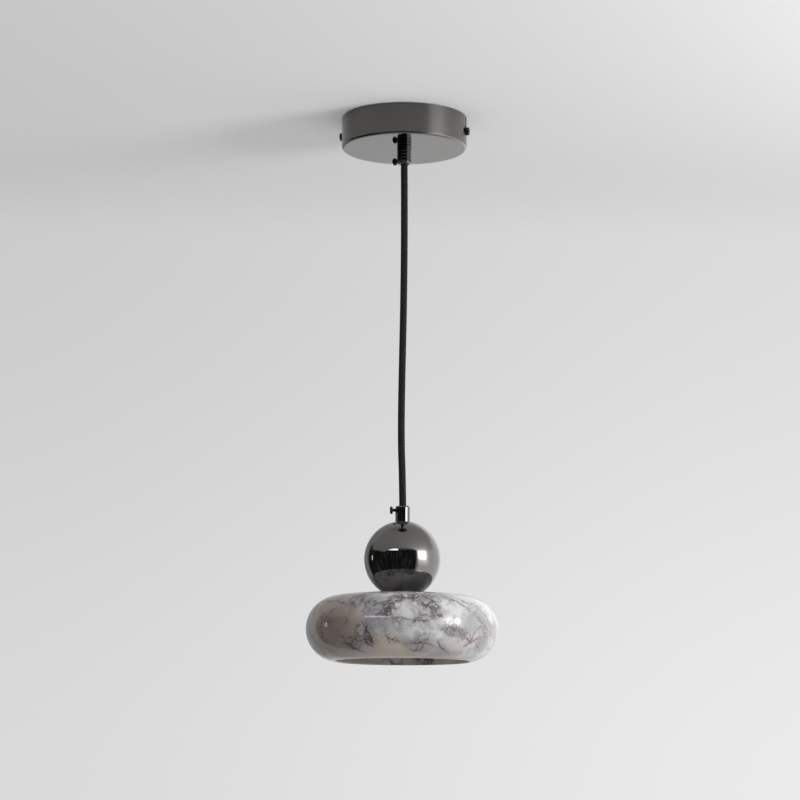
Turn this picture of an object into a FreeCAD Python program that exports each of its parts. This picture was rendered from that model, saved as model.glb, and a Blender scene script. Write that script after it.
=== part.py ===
"""Marble bowl pendant: canopy, textile cord with two thumb-screw grips, polished ball and stone shade.

The origin is the middle of the ceiling plane, +Z points up and the lamp hangs towards -Z. X runs
through the two side screws of the canopy. Lengths are in millimetres.
"""

import FreeCAD, Part
import Sketcher
import math
import os
import re

from FreeCAD import Placement, Rotation, Vector

SIZES = {
    # canopy and the strap that carries it
    "canopy_diameter": 100,
    "canopy_height": 25,
    "canopy_wall": 1.2,
    "canopy_corner": 2,
    "bracket_thickness": 1.5,
    "bracket_width": 20,
    "bracket_shoulder": 38,
    "ear_width": 12,
    "ear_height": 18,
    "ear_gap": 0.3,
    "slot_spacing": 60,
    "slot_width": 5,
    "slot_length": 12,
    "wing_width": 26,
    "wing_reach": 31,
    "entry_diameter": 10,
    "entry_offset": 8.5,
    "side_screw_drop": 12.5,
    "side_screw_diameter": 3,
    "side_screw_end": 1.5,
    "side_head_diameter": 6.4,
    "side_head_thickness": 2.7,
    "side_head_round": 0.8,
    "side_socket": 2.2,
    "side_socket_depth": 1.3,
    "canopy_slot_clearance": 0.2,
    "thread_clearance": 0.05,
    "seat_clearance": 0.05,
    # wiring in the canopy
    "block_length": 24,
    "block_width": 15,
    "block_height": 11,
    "block_offset": 22.5,
    "pole_pitch": 8,
    "pole_depth": 5.5,
    "pole_bore": 3.2,
    "well_diameter": 3.6,
    "well_pitch": 7,
    "pole_screw_diameter": 3.3,
    "pole_screw_recess": 0.8,
    "block_screw_diameter": 3,
    "block_head_diameter": 5.4,
    "block_head_thickness": 2,
    "earth_offset": 15,
    "earth_screw_diameter": 4,
    "earth_head_diameter": 7,
    "earth_head_thickness": 2.4,
    "lug_thickness": 0.8,
    "lug_barrel_diameter": 2.8,
    "lug_barrel_length": 5,
    "driver_length": 58,
    "driver_width": 24,
    "driver_height": 12.5,
    "driver_corner": 2.5,
    "driver_gap": 1.5,
    "driver_hole": 2.2,
    "driver_hole_depth": 3,
    "driver_hole_height": 5.8,
    "driver_hole_inset": 4,
    "driver_hole_pitch": 5,
    "lid_thickness": 1.5,
    "tape_thickness": 1,
    "tape_length": 40,
    "tape_width": 16,
    "lead_diameter": 1.6,
    "lead_insertion": 3,
    "lead_straight": 2.5,
    "core_spacing": 2.6,
    # cord and its two grips
    "cord_diameter": 5.5,
    "cord_length": 274.8,
    "cord_gap": 0.3,
    "cord_run_in_canopy": 18,
    "cord_head_room": 1.9,
    "grip_diameter": 11.5,
    "grip_length": 12.4,
    "grip_bore": 6.2,
    "grip_edge": 1.5,
    "grip_mouth": 1,
    "grip_socket_depth": 5.8,
    "ring_spacing": 2.6,
    "ring_width": 0.6,
    "ring_depth": 0.3,
    "nipple_diameter": 8,
    "nipple_bore": 6.2,
    "nipple_end": 1.2,
    "nut_flats": 12,
    "nut_height": 3,
    "tooth_washer_diameter": 14,
    "tooth_washer_thickness": 0.8,
    "stop_diameter": 12,
    "stop_height": 4,
    "thumb_screw_diameter": 3,
    "thumb_screw_inset": 3.3,
    "thumb_neck_diameter": 2.4,
    "thumb_neck_length": 2,
    "thumb_head_diameter": 5.9,
    "thumb_head_thickness": 2.3,
    "thumb_head_edge": 0.4,
    "upper_thumb_azimuth": 158,
    "lower_thumb_azimuth": 191,
    # ball, stone shade and what clamps them
    "ball_diameter": 60,
    "ball_wall": 1.5,
    "ball_seat_diameter": 21,
    "stem_hole_clearance": 0.25,
    "felt_diameter": 20,
    "felt_thickness": 0.8,
    "shade_diameter": 150,
    "shade_height": 51,
    "shade_wall": 12,
    "shade_opening": 105,
    "shade_lip": 1,
    "shade_hole": 10,
    "gasket_diameter": 60,
    "gasket_thickness": 1,
    "tray_diameter": 96,
    "tray_height": 14,
    "tray_plate": 2,
    "tray_wall": 1.5,
    "tray_corner": 4,
    "stem_washer_diameter": 18,
    "stem_washer_thickness": 1.5,
    "stem_nut_flats": 13,
    "stem_nut_height": 4,
    "stem_end": 1,
    "board_diameter": 84,
    "board_hole": 24,
    "board_thickness": 1.6,
    "chip_size": 3,
    "chip_height": 0.7,
    "outer_chip_circle": 70,
    "inner_chip_circle": 46,
    "pad_circle": 31,
    "board_lead_drop": 1.8,
    "board_screw_circle": 57,
    "board_screw_diameter": 3,
    "board_head_diameter": 5.5,
    "board_head_thickness": 1.8,
    "diffuser_thickness": 2,
    "diffuser_edge": 1.2,
    "diffuser_lip_height": 4,
    "diffuser_lip_wall": 1.5,
}

OUTER_CHIPS = 18
INNER_CHIPS = 10
BOARD_SCREWS = 3
GRIP_RINGS = 3

# Heights, as expressions of the sizes
CANOPY_BASE = "(-canopy_height)"
CANOPY_FLOOR = "(canopy_wall - canopy_height)"
CANOPY_BORE = "(canopy_diameter / 2 - canopy_wall)"
STRAP_BASE = "(-bracket_thickness)"
EAR_FACE = f"(sqrt({CANOPY_BORE}^2 - (ear_width / 2)^2) - ear_gap)"
NUT_BASE = f"({CANOPY_FLOOR} + tooth_washer_thickness)"
NIPPLE_TOP = f"({NUT_BASE} + nut_height + nipple_end)"
CORD_TURN = "(-bracket_thickness - cord_head_room - cord_diameter / 2)"
DRIVER_BASE = f"({CANOPY_FLOOR} + tape_thickness)"
DRIVER_LID = f"({DRIVER_BASE} + driver_height)"
DRIVER_BACK = f"(sqrt({CANOPY_BORE}^2 - (driver_length / 2)^2) - driver_gap)"
DRIVER_FACE = f"({DRIVER_BACK} - driver_width)"
BLOCK_BASE = f"({STRAP_BASE} - block_height)"
POLE_HEIGHT = f"({STRAP_BASE} - pole_depth)"
UPPER_MOUTH = "(-canopy_height - grip_length)"
LOWER_MOUTH = f"({UPPER_MOUTH} - cord_length)"
BALL_TOP = f"({LOWER_MOUTH} - grip_length)"
BALL_CENTRE = f"({BALL_TOP} - sqrt((ball_diameter / 2)^2 - (grip_diameter / 2)^2))"
BALL_BASE = f"({BALL_CENTRE} - sqrt((ball_diameter / 2)^2 - (ball_seat_diameter / 2)^2))"
SHADE_TOP = f"({BALL_BASE} - felt_thickness)"
SHADE_MIDDLE = f"({SHADE_TOP} - shade_height / 2)"
SHADE_CEILING = f"({SHADE_TOP} - shade_wall)"
TRAY_TOP = f"({SHADE_CEILING} - gasket_thickness)"
TRAY_PLATE_BASE = f"({TRAY_TOP} - tray_plate)"
TRAY_RIM = f"({TRAY_TOP} - tray_height)"
BOARD_BASE = f"({TRAY_PLATE_BASE} - board_thickness)"
STEM_NUT_TOP = f"({TRAY_PLATE_BASE} - stem_washer_thickness)"
STEM_BASE = f"({STEM_NUT_TOP} - stem_nut_height - stem_end)"
STEM_HOLE = "(nipple_diameter + 2 * stem_hole_clearance)"

doc = FreeCAD.newDocument("pendant")
sheet = doc.addObject("Spreadsheet::Sheet", "sizes")
for row, (alias, value) in enumerate(SIZES.items(), start=1):
    sheet.set(f"A{row}", alias.replace("_", " "))
    sheet.set(f"B{row}", str(value))
    sheet.setAlias(f"B{row}", alias)
doc.recompute()

pieces = []


def tied(text):
    """The expression as other objects read it, with the sheet's name before each size."""
    return re.sub(r"[a-z]\w*", lambda word: f"sizes.{word[0]}" if word[0] in SIZES else word[0], text)


def size(text):
    """The value of an expression of the sizes."""
    return float(sheet.evalExpression(text))


def bind(thing, **properties):
    """Ties properties of an object to expressions of the sizes."""
    for name, text in properties.items():
        thing.setExpression(name, tied(text))


def place(thing, at=("0", "0", "0"), turn=None):
    """Puts an object at a tied place, turned by a rotation."""
    if turn is not None:
        thing.Placement = Placement(Vector(), turn)
    for axis, text in zip("xyz", at):
        if text != "0":
            thing.setExpression(f"Placement.Base.{axis}", tied(text))


def keep(thing, label):
    """Marks an object as one of the pieces, under its own name."""
    thing.Label = label
    pieces.append(thing)


def rod(name, diameter, length, at=("0", "0", "0"), turn=None):
    """A round bar or cutter that stands on its place."""
    thing = doc.addObject("Part::Cylinder", name)
    bind(thing, Radius=f"({diameter}) / 2", Height=length)
    place(thing, at, turn)
    return thing


def block(name, length, width, height, at):
    """A rectangular block or cutter, from its lowest corner."""
    thing = doc.addObject("Part::Box", name)
    bind(thing, Length=length, Width=width, Height=height)
    place(thing, at)
    return thing


def joined(name, things):
    """Several shapes as one."""
    thing = doc.addObject("Part::MultiFuse", name)
    thing.Shapes = things
    return thing


def group(name, things):
    """Several separate solids under one name."""
    thing = doc.addObject("Part::Compound", name)
    thing.Links = things
    return thing


def less(name, base, tools):
    """A shape with others cut out of it."""
    thing = doc.addObject("Part::Cut", name)
    thing.Base = base
    thing.Tool = tools[0] if len(tools) == 1 else joined(f"{name}_cutters", tools)
    return thing


def ring(name, outer, inner, height, at):
    """A flat ring that stands on its place."""
    return less(name, rod(f"{name}_disc", outer, height, at), [rod(f"{name}_hole", inner, height, at)])


def hexagon_nut(name, flats, bore, height, at):
    """A hexagon nut, from its size across the flats."""
    prism = doc.addObject("Part::Prism", f"{name}_prism")
    prism.Polygon = 6
    bind(prism, Circumradius=f"({flats}) / 2 / cos(30)", Height=height)
    place(prism, at)
    return less(name, prism, [rod(f"{name}_bore", bore, height, at)])


def outline(body, name, plane, corners):
    """A closed outline on an origin plane of the body, with each corner tied to the sizes.

    A corner is its two expressions. A third value makes the edge that leaves it an arc of that
    radius, and a fourth says whether the arc turns "left" or "right" on its way.
    """
    sketch = body.newObject("Sketcher::SketchObject", name)
    origin_plane = next(f for f in body.Origin.OriginFeatures if f.Role == f"{plane}_Plane")
    sketch.AttachmentSupport = [(origin_plane, "")]
    sketch.MapMode = "FlatFace"
    points = [Vector(size(corner[0]), size(corner[1]), 0) for corner in corners]
    starts = []
    ends = []
    for i, corner in enumerate(corners):
        here = points[i]
        there = points[(i + 1) % len(points)]
        if len(corner) == 2:
            sketch.addGeometry(Part.LineSegment(here, there))
            starts.append((i, 1))
            ends.append((i, 2))
            continue
        radius = size(corner[2])
        left = corner[3] == "left"
        chord = there - here
        across = Vector(-chord.y, chord.x, 0).normalize() * (1 if left else -1)
        middle = (here + there) / 2 + across * math.sqrt(radius**2 - (chord.Length / 2) ** 2)
        first, last = (here, there) if left else (there, here)
        angles = [math.atan2(p.y - middle.y, p.x - middle.x) for p in (first, last)]
        sketch.addGeometry(Part.ArcOfCircle(Part.Circle(middle, Vector(0, 0, 1), radius), *angles))
        starts.append((i, 1 if left else 2))
        ends.append((i, 2 if left else 1))
        sketch.addConstraint(Sketcher.Constraint("Radius", i, radius))
        sketch.setExpression(f"Constraints[{sketch.ConstraintCount - 1}]", tied(corner[2]))
    for i, corner in enumerate(corners):
        sketch.addConstraint(Sketcher.Constraint("Coincident", *ends[i - 1], *starts[i]))
        for kind, axis, text, value in (
            ("DistanceX", -2, corner[0], points[i].x),
            ("DistanceY", -1, corner[1], points[i].y),
        ):
            if text == "0":
                sketch.addConstraint(Sketcher.Constraint("PointOnObject", *starts[i], axis))
                continue
            sketch.addConstraint(Sketcher.Constraint(kind, -1, 1, *starts[i], value))
            sketch.setExpression(f"Constraints[{sketch.ConstraintCount - 1}]", tied(text))
    return sketch


def turned(name, corners, at=("0", "0", "0"), turn=None):
    """A turned piece: an outline of radius and height, revolved about the upright axis."""
    body = doc.addObject("PartDesign::Body", name)
    profile = outline(body, f"{name}_profile", "XZ", corners)
    revolution = body.newObject("PartDesign::Revolution", f"{name}_turning")
    revolution.Profile = profile
    revolution.ReferenceAxis = (profile, ["V_Axis"])
    revolution.Angle = 360
    body.Tip = revolution
    place(body, at, turn)
    return body


def plate(body, name, corners, height, down=False):
    """Adds a flat plate to a body, drawn on its level plane."""
    pad = body.newObject("PartDesign::Pad", name)
    pad.Profile = outline(body, f"{name}_outline", "XY", corners)
    pad.Reversed = down
    bind(pad, Length=height)
    body.Tip = pad
    doc.recompute()
    return pad


def rounded(body, name, base, radius, chosen):
    """Rounds the edges of a body that a test chooses."""
    fillet = body.newObject("PartDesign::Fillet", name)
    names = [f"Edge{i}" for i, edge in enumerate(base.Shape.Edges, start=1) if chosen(edge)]
    fillet.Base = (base, names)
    bind(fillet, Radius=radius)
    body.Tip = fillet
    return fillet


def rectangle(left, right, front, back):
    """The corners of a rectangle, from its four sides."""
    return [(left, front), (right, front), (right, back), (left, back)]


def upright(edge):
    """Whether an edge stands straight up."""
    return abs(edge.Vertexes[0].Z - edge.Vertexes[-1].Z) > edge.Length * 0.999


def tube(label, points, diameter_size):
    """A round lead or cord along straight runs that tangent arcs join, as large as the runs allow."""
    radius = size(diameter_size) / 2
    corners = [Vector(*point) for point in points]
    start = corners[0]
    edges = []
    radii = []
    for before, corner, after in zip(corners, corners[1:], corners[2:]):
        back = (before - corner).normalize()
        ahead = (after - corner).normalize()
        half_turn = (math.pi - back.getAngle(ahead)) / 2
        reach = 0.45 * min((before - corner).Length, (after - corner).Length)
        bend = reach / math.tan(half_turn)
        inwards = (back + ahead).normalize() * (bend / math.cos(half_turn) - bend)
        arc = Part.Arc(corner + back * reach, corner + inwards, corner + ahead * reach)
        edges += [Part.LineSegment(start, corner + back * reach).toShape(), arc.toShape()]
        start = corner + ahead * reach
        radii.append(bend)
    edges.append(Part.LineSegment(start, corners[-1]).toShape())
    path = Part.Wire(edges)
    section = Part.Wire([Part.Circle(corners[0], corners[1] - corners[0], radius).toShape()])
    shape = path.makePipeShell([section], True, False)
    share = shape.Volume / (math.pi * radius**2 * path.Length)
    print(f"{label}: length {path.Length:.1f}, volume / (section x length) {share:.5f},",
          "radii", " ".join(f"{bend:.1f}" for bend in radii))
    feature = doc.addObject("Part::Feature", label)
    feature.Shape = shape
    return feature


# Mounting bracket: a pressed steel strap with two ears for the side screws and a wing that
# carries the terminal block.
bracket = doc.addObject("PartDesign::Body", "bracket_blank")
strap = plate(
    bracket,
    "strap",
    [
        (EAR_FACE, "-ear_width / 2"),
        (EAR_FACE, "ear_width / 2"),
        ("bracket_shoulder", "bracket_width / 2"),
        ("-bracket_shoulder", "bracket_width / 2"),
        (f"-{EAR_FACE}", "ear_width / 2"),
        (f"-{EAR_FACE}", "-ear_width / 2"),
        ("-bracket_shoulder", "-bracket_width / 2"),
        ("-wing_width / 2", "-bracket_width / 2"),
        ("-wing_width / 2", "-wing_reach"),
        ("wing_width / 2", "-wing_reach"),
        ("wing_width / 2", "-bracket_width / 2"),
        ("bracket_shoulder", "-bracket_width / 2"),
    ],
    "bracket_thickness",
    down=True,
)
for side, sign in (("right", ""), ("left", "-")):
    ears = plate(
        bracket,
        f"{side}_ear",
        rectangle(
            f"{sign}({EAR_FACE} - bracket_thickness)", f"{sign}{EAR_FACE}", "-ear_width / 2", "ear_width / 2"
        ),
        "ear_height",
        down=True,
    )
rounded(
    bracket,
    "bends",
    ears,
    "bracket_thickness",
    lambda edge: abs(edge.CenterOfMass.z) < 1e-6 and abs(edge.CenterOfMass.x) > size(EAR_FACE) - 1e-6,
)
bracket_cutters = [
    rod("cable_entry", "entry_diameter", "bracket_thickness", ("0", "-entry_offset", STRAP_BASE)),
    rod("earth_thread", "earth_screw_diameter", "bracket_thickness", ("earth_offset", "0", STRAP_BASE)),
    rod(
        "block_thread",
        "block_screw_diameter",
        "bracket_thickness",
        ("pole_pitch / 2", "-block_offset", STRAP_BASE),
    ),
    rod(
        "ear_threads",
        "side_screw_diameter",
        "canopy_diameter",
        ("-canopy_diameter / 2", "0", "-side_screw_drop"),
        Rotation(Vector(0, 1, 0), 90),
    ),
]
for side, sign in (("right", ""), ("left", "-")):
    middle = f"{sign}slot_spacing / 2"
    straight = "(slot_length - slot_width)"
    bracket_cutters.append(
        block(
            f"{side}_slot",
            straight,
            "slot_width",
            "bracket_thickness",
            (f"{middle} - {straight} / 2", "-slot_width / 2", STRAP_BASE),
        )
    )
    for end, step in (("inner", "-"), ("outer", "+")):
        bracket_cutters.append(
            rod(
                f"{side}_slot_{end}_end",
                "slot_width",
                "bracket_thickness",
                (f"{middle} {step} {straight} / 2", "0", STRAP_BASE),
            )
        )
keep(less("bracket", bracket, bracket_cutters), "mounting_bracket")

# Canopy: a spun steel cup. Its wall has two open slots, so that it slides up over the side
# screws before they are tightened.
canopy_profile = [
    (f"{STEM_HOLE} / 2", CANOPY_BASE),
    ("canopy_diameter / 2 - canopy_corner", CANOPY_BASE, "canopy_corner", "left"),
    ("canopy_diameter / 2", f"{CANOPY_BASE} + canopy_corner"),
    ("canopy_diameter / 2", "0"),
    (CANOPY_BORE, "0"),
    (CANOPY_BORE, f"{CANOPY_BASE} + canopy_corner", "canopy_corner - canopy_wall", "right"),
    ("canopy_diameter / 2 - canopy_corner", CANOPY_FLOOR),
    (f"{STEM_HOLE} / 2", CANOPY_FLOOR),
]
canopy_slot = "(side_screw_diameter + 2 * canopy_slot_clearance)"
canopy_cutters = [
    block(
        "slot_sides",
        "canopy_diameter",
        canopy_slot,
        "side_screw_drop",
        ("-canopy_diameter / 2", f"-{canopy_slot} / 2", "-side_screw_drop"),
    ),
    rod(
        "slot_floor",
        canopy_slot,
        "canopy_diameter",
        ("-canopy_diameter / 2", "0", "-side_screw_drop"),
        Rotation(Vector(0, 1, 0), 90),
    ),
]
keep(less("canopy", turned("canopy_cup_blank", canopy_profile), canopy_cutters), "canopy_cup")

# Side screws: round heads with a hexagon socket, through the wall's slot into the bracket's ear.
side_shank = f"(canopy_diameter / 2 - {EAR_FACE} + bracket_thickness + side_screw_end)"
for side, sign, angle in (("right", "", 90), ("left", "-", -90)):
    seat = (f"{sign}(canopy_diameter / 2 + seat_clearance)", "0", "-side_screw_drop")
    lengthwise = Rotation(Vector(0, 1, 0), angle)
    blank = turned(
        f"{side}_screw_blank",
        [
            ("0", f"-{side_shank}"),
            ("side_screw_diameter / 2 - thread_clearance", f"-{side_shank}"),
            ("side_screw_diameter / 2 - thread_clearance", "0"),
            ("side_head_diameter / 2", "0"),
            (
                "side_head_diameter / 2",
                "side_head_thickness - side_head_round",
                "side_head_round",
                "left",
            ),
            ("side_head_diameter / 2 - side_head_round", "side_head_thickness"),
            ("0", "side_head_thickness"),
        ],
        seat,
        lengthwise,
    )
    socket = doc.addObject("Part::Prism", f"{side}_socket")
    socket.Polygon = 6
    bind(socket, Circumradius="side_socket / 2 / cos(30)", Height="side_socket_depth")
    depth = "(side_head_thickness - side_socket_depth)"
    place(socket, (f"{seat[0]} + {sign}{depth}", "0", seat[2]), lengthwise)
    keep(less(f"{side}_screw", blank, [socket]), f"canopy_screw_{side}")

# Earth connection: a screw in the strap that clamps the ring lug of the earth lead.
earth_place = ("earth_offset", "0", f"{STRAP_BASE} - lug_thickness - earth_head_thickness")
earth_screw = joined(
    "earth_screw_solid",
    [
        rod("earth_head", "earth_head_diameter", "earth_head_thickness", earth_place),
        rod(
            "earth_shank",
            "earth_screw_diameter",
            "earth_head_thickness + lug_thickness + bracket_thickness",
            earth_place,
        ),
    ],
)
keep(earth_screw, "earth_screw")
lug_level = f"({STRAP_BASE} - lug_thickness)"
barrel_level = f"({STRAP_BASE} - lug_barrel_diameter / 2 - seat_clearance)"
barrel_end = "(-earth_head_diameter / 2 - seat_clearance - lug_barrel_length)"
along_y = Rotation(Vector(1, 0, 0), -90)
barrel_place = ("earth_offset", barrel_end, barrel_level)
lug = joined(
    "lug_blank",
    [
        rod("lug_ring", "earth_head_diameter", "lug_thickness", ("earth_offset", "0", lug_level)),
        block(
            "lug_tongue",
            "lug_barrel_diameter",
            "earth_head_diameter / 2 + lug_barrel_length / 2",
            "lug_thickness",
            (
                "earth_offset - lug_barrel_diameter / 2",
                "-earth_head_diameter / 2 - lug_barrel_length / 2",
                lug_level,
            ),
        ),
        rod("lug_barrel", "lug_barrel_diameter", "lug_barrel_length", barrel_place, along_y),
    ],
)
lug_cutters = [
    rod("lug_hole", "earth_screw_diameter", "lug_thickness", ("earth_offset", "0", lug_level)),
    rod("lug_bore", "lead_diameter", "lug_barrel_length", barrel_place, along_y),
]
keep(less("lug", lug, lug_cutters), "earth_lug")

# Terminal block: three poles under the wing, each with two wire screws, held by one screw.
block_blank = block(
    "block_blank",
    "block_length",
    "block_width",
    "block_height",
    ("-block_length / 2", "-block_offset - block_width / 2", BLOCK_BASE),
)
block_cutters = [
    rod(
        "block_screw_hole",
        "block_screw_diameter + 2 * seat_clearance",
        "block_height",
        ("pole_pitch / 2", "-block_offset", BLOCK_BASE),
    )
]
pole_screws = []
for pole in (-1, 0, 1):
    across = f"{pole} * pole_pitch"
    block_cutters.append(
        rod(
            f"wire_hole_{pole + 2}",
            "pole_bore",
            "block_width",
            (across, "-block_offset - block_width / 2", POLE_HEIGHT),
            along_y,
        )
    )
    for end, step in (("front", "-"), ("back", "+")):
        along = f"-block_offset {step} well_pitch / 2"
        name = f"{end}_{pole + 2}"
        block_cutters.append(
            rod(f"well_{name}", "well_diameter", "block_height - pole_depth", (across, along, BLOCK_BASE))
        )
        pole_screws.append(
            rod(
                f"wire_screw_{name}",
                "pole_screw_diameter",
                "block_height - pole_depth - pole_screw_recess - lead_diameter / 2 - seat_clearance",
                (across, along, f"{BLOCK_BASE} + pole_screw_recess"),
            )
        )
keep(less("terminals", block_blank, block_cutters), "terminal_block")
keep(group("wire_screws", pole_screws), "terminal_screws")
block_screw_place = ("pole_pitch / 2", "-block_offset", f"{BLOCK_BASE} - block_head_thickness")
block_screw = joined(
    "block_screw",
    [
        rod("block_screw_head", "block_head_diameter", "block_head_thickness", block_screw_place),
        rod(
            "block_screw_shank",
            "block_screw_diameter",
            "block_head_thickness + block_height + bracket_thickness",
            block_screw_place,
        ),
    ],
)
keep(block_screw, "terminal_fixing_screw")

# Driver: a moulded case with a lid, taped to the canopy's floor beside the cord.
driver_sides = rectangle("-driver_length / 2", "driver_length / 2", DRIVER_FACE, DRIVER_BACK)
case = doc.addObject("PartDesign::Body", "case_blank")
case_pad = plate(case, "case", driver_sides, "driver_height")
rounded(case, "case_corners", case_pad, "driver_corner", upright)
place(case, ("0", "0", DRIVER_BASE))
lead_ways = []
for side, sign in (("right", ""), ("left", "-")):
    for number in (0, 1):
        across = f"(driver_length / 2 - driver_hole_inset - {number} * driver_hole_pitch)"
        lead_ways.append(
            rod(
                f"{side}_lead_hole_{number + 1}",
                "driver_hole",
                "driver_hole_depth",
                (f"{sign}{across}", DRIVER_FACE, f"{DRIVER_BASE} + driver_hole_height"),
                along_y,
            )
        )
keep(less("driver", case, lead_ways), "driver_case")
lid = doc.addObject("PartDesign::Body", "lid")
lid_pad = plate(lid, "lid_plate", driver_sides, "lid_thickness")
rounded(lid, "lid_corners", lid_pad, "driver_corner", upright)
place(lid, ("0", "0", DRIVER_LID))
keep(lid, "driver_lid")
tape = block(
    "tape",
    "tape_length",
    "tape_width",
    "tape_thickness",
    ("-tape_length / 2", f"({DRIVER_BACK} + {DRIVER_FACE} - tape_width) / 2", CANOPY_FLOOR),
)
keep(tape, "driver_tape")

# Upper fixing: a threaded nipple through the canopy with a toothed washer and a lock nut.
nipple_foot = f"({CANOPY_BASE} - grip_socket_depth + seat_clearance)"
keep(
    ring(
        "nipple", "nipple_diameter", "nipple_bore", f"{NIPPLE_TOP} - {nipple_foot}", ("0", "0", nipple_foot)
    ),
    "upper_nipple",
)
keep(
    ring(
        "tooth_washer",
        "tooth_washer_diameter",
        STEM_HOLE,
        "tooth_washer_thickness",
        ("0", "0", CANOPY_FLOOR),
    ),
    "upper_tooth_washer",
)
keep(
    hexagon_nut("lock_nut", "nut_flats", "nipple_diameter", "nut_height", ("0", "0", NUT_BASE)),
    "upper_lock_nut",
)
keep(
    ring(
        "stop",
        "stop_diameter",
        "cord_diameter + 2 * seat_clearance",
        "stop_height",
        ("0", "0", NIPPLE_TOP),
    ),
    "cord_stop",
)


def grip(label, level, turn, azimuth, rings):
    """A cord grip and its thumb screw, from the cord's mouth at the level to the threaded base.

    The grip is turned with a rounded outer edge and mouth, and the upper one has fine rings. The
    thumb screw crosses it, presses the cord and points along the azimuth.
    """
    wall = "grip_diameter / 2"
    corners = [
        ("grip_bore / 2 + grip_mouth", "0"),
        (f"{wall} - grip_edge", "0", "grip_edge", "left"),
        (wall, "grip_edge"),
    ]
    for number in range(rings, 0, -1):
        middle = f"grip_length - {number} * ring_spacing"
        corners += [
            (wall, f"{middle} - ring_width / 2"),
            (f"{wall} - ring_depth", middle),
            (wall, f"{middle} + ring_width / 2"),
        ]
    corners += [
        (wall, "grip_length"),
        ("nipple_diameter / 2 + seat_clearance", "grip_length"),
        ("nipple_diameter / 2 + seat_clearance", "grip_length - grip_socket_depth"),
        ("grip_bore / 2", "grip_length - grip_socket_depth"),
        ("grip_bore / 2", "grip_mouth", "grip_mouth", "left"),
    ]
    sleeve = turned(f"{label}_sleeve", corners, ("0", "0", level), turn)
    up = turn.multVec(Vector(0, 0, 1)).z
    cross_level = f"{level} {'+' if up > 0 else '-'} thumb_screw_inset"
    outwards = Rotation(Vector(0, 1, 0), 90)
    sideways = Rotation(Vector(0, 0, 1), size(azimuth)).multiply(outwards)
    cross_hole = rod(
        f"{label}_cross_hole", "thumb_screw_diameter", "grip_diameter", ("0", "0", cross_level), sideways
    )
    keep(less(f"{label}_grip", sleeve, [cross_hole]), f"{label}_cord_grip")
    shank = "thumb_screw_diameter / 2 - thread_clearance"
    head = f"{wall} + thumb_neck_length"
    screw = turned(
        f"{label}_screw",
        [
            ("0", "cord_diameter / 2 + seat_clearance"),
            (shank, "cord_diameter / 2 + seat_clearance"),
            (shank, wall),
            ("thumb_neck_diameter / 2", wall),
            ("thumb_neck_diameter / 2", head),
            ("thumb_head_diameter / 2 - thumb_head_edge", head),
            ("thumb_head_diameter / 2", f"{head} + thumb_head_edge"),
            ("thumb_head_diameter / 2", f"{head} + thumb_head_thickness - thumb_head_edge"),
            ("thumb_head_diameter / 2 - thumb_head_edge", f"{head} + thumb_head_thickness"),
            ("0", f"{head} + thumb_head_thickness"),
        ],
        ("0", "0", cross_level),
        sideways,
    )
    keep(screw, f"{label}_thumb_screw")


# Upper grip: under the canopy, mouth down.
grip("upper", UPPER_MOUTH, Rotation(), "upper_thumb_azimuth", GRIP_RINGS)

# Lower grip: on the ball, mouth up.
grip("lower", LOWER_MOUTH, Rotation(Vector(1, 0, 0), 180), "lower_thumb_azimuth", 0)

# Cord in the canopy: up through the nipple, then level under the strap towards the driver.
cord_joint = f"({NIPPLE_TOP} - cord_gap)"
turn_level = size(CORD_TURN)
run_end = -size("cord_run_in_canopy")
canopy_cord = tube(
    "canopy_cord",
    [(0, 0, size(cord_joint)), (0, 0, turn_level), (run_end, 0, turn_level)],
    "cord_diameter",
)
keep(canopy_cord, "canopy_cord")

# Cord in the upper grip: the length that the thumb screw clamps.
clamped_foot = f"({UPPER_MOUTH} + cord_diameter / 2 + cord_gap)"
keep(
    rod(
        "clamped_cord",
        "cord_diameter",
        f"{cord_joint} - cord_gap - {clamped_foot}",
        ("0", "0", clamped_foot),
    ),
    "cord_in_upper_grip",
)

# Bending lengths: the short lengths of cord at the two mouths that give way when the lamp swings.
for name, label, level in (
    ("upper_bend", "cord_upper_bend", UPPER_MOUTH),
    ("lower_bend", "cord_lower_bend", LOWER_MOUTH),
):
    bend = doc.addObject("Part::Sphere", name)
    bind(bend, Radius="cord_diameter / 2")
    place(bend, ("0", "0", level))
    keep(bend, label)

# Hanging cord: nearly straight under the lamp's weight, with the slight set that it keeps from
# its packing. Each stage is its share of the cord's length and how far it stands off to the side.
CORD_STAGES = ((0.173, 0.45), (0.41, 0.1), (0.683, -1.35), (0.817, -1.45), (0.919, -0.35))
cord_points = [(0, 0, size(UPPER_MOUTH))]
for share, aside in CORD_STAGES:
    cord_points.append((aside, 0, size(UPPER_MOUTH) - share * size("cord_length")))
cord_points.append((0, 0, size(LOWER_MOUTH)))
cord_blank = tube("hanging_cord", cord_points, "cord_diameter")
cups = []
for name, level in (("upper_cup", UPPER_MOUTH), ("lower_cup", LOWER_MOUTH)):
    cup = doc.addObject("Part::Sphere", name)
    bind(cup, Radius="cord_diameter / 2 + cord_gap")
    place(cup, ("0", "0", level))
    cups.append(cup)
keep(less("cord", cord_blank, cups), "pendant_cord")

# Cord in the lamp: from the lower grip down through the stem.
lamp_cord_top = f"({LOWER_MOUTH} - cord_diameter / 2 - cord_gap)"
lamp_cord_foot = f"({STEM_BASE} + stem_nut_height)"
keep(
    rod(
        "lamp_cord_solid",
        "cord_diameter",
        f"{lamp_cord_top} - {lamp_cord_foot}",
        ("0", "0", lamp_cord_foot),
    ),
    "lamp_cord",
)

# Stem: a hollow threaded rod that draws grip, ball, stone and tray together.
stem_top = f"({BALL_TOP} + grip_socket_depth - seat_clearance)"
keep(
    ring("stem", "nipple_diameter", "nipple_bore", f"{stem_top} - {STEM_BASE}", ("0", "0", STEM_BASE)),
    "stem_tube",
)

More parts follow.
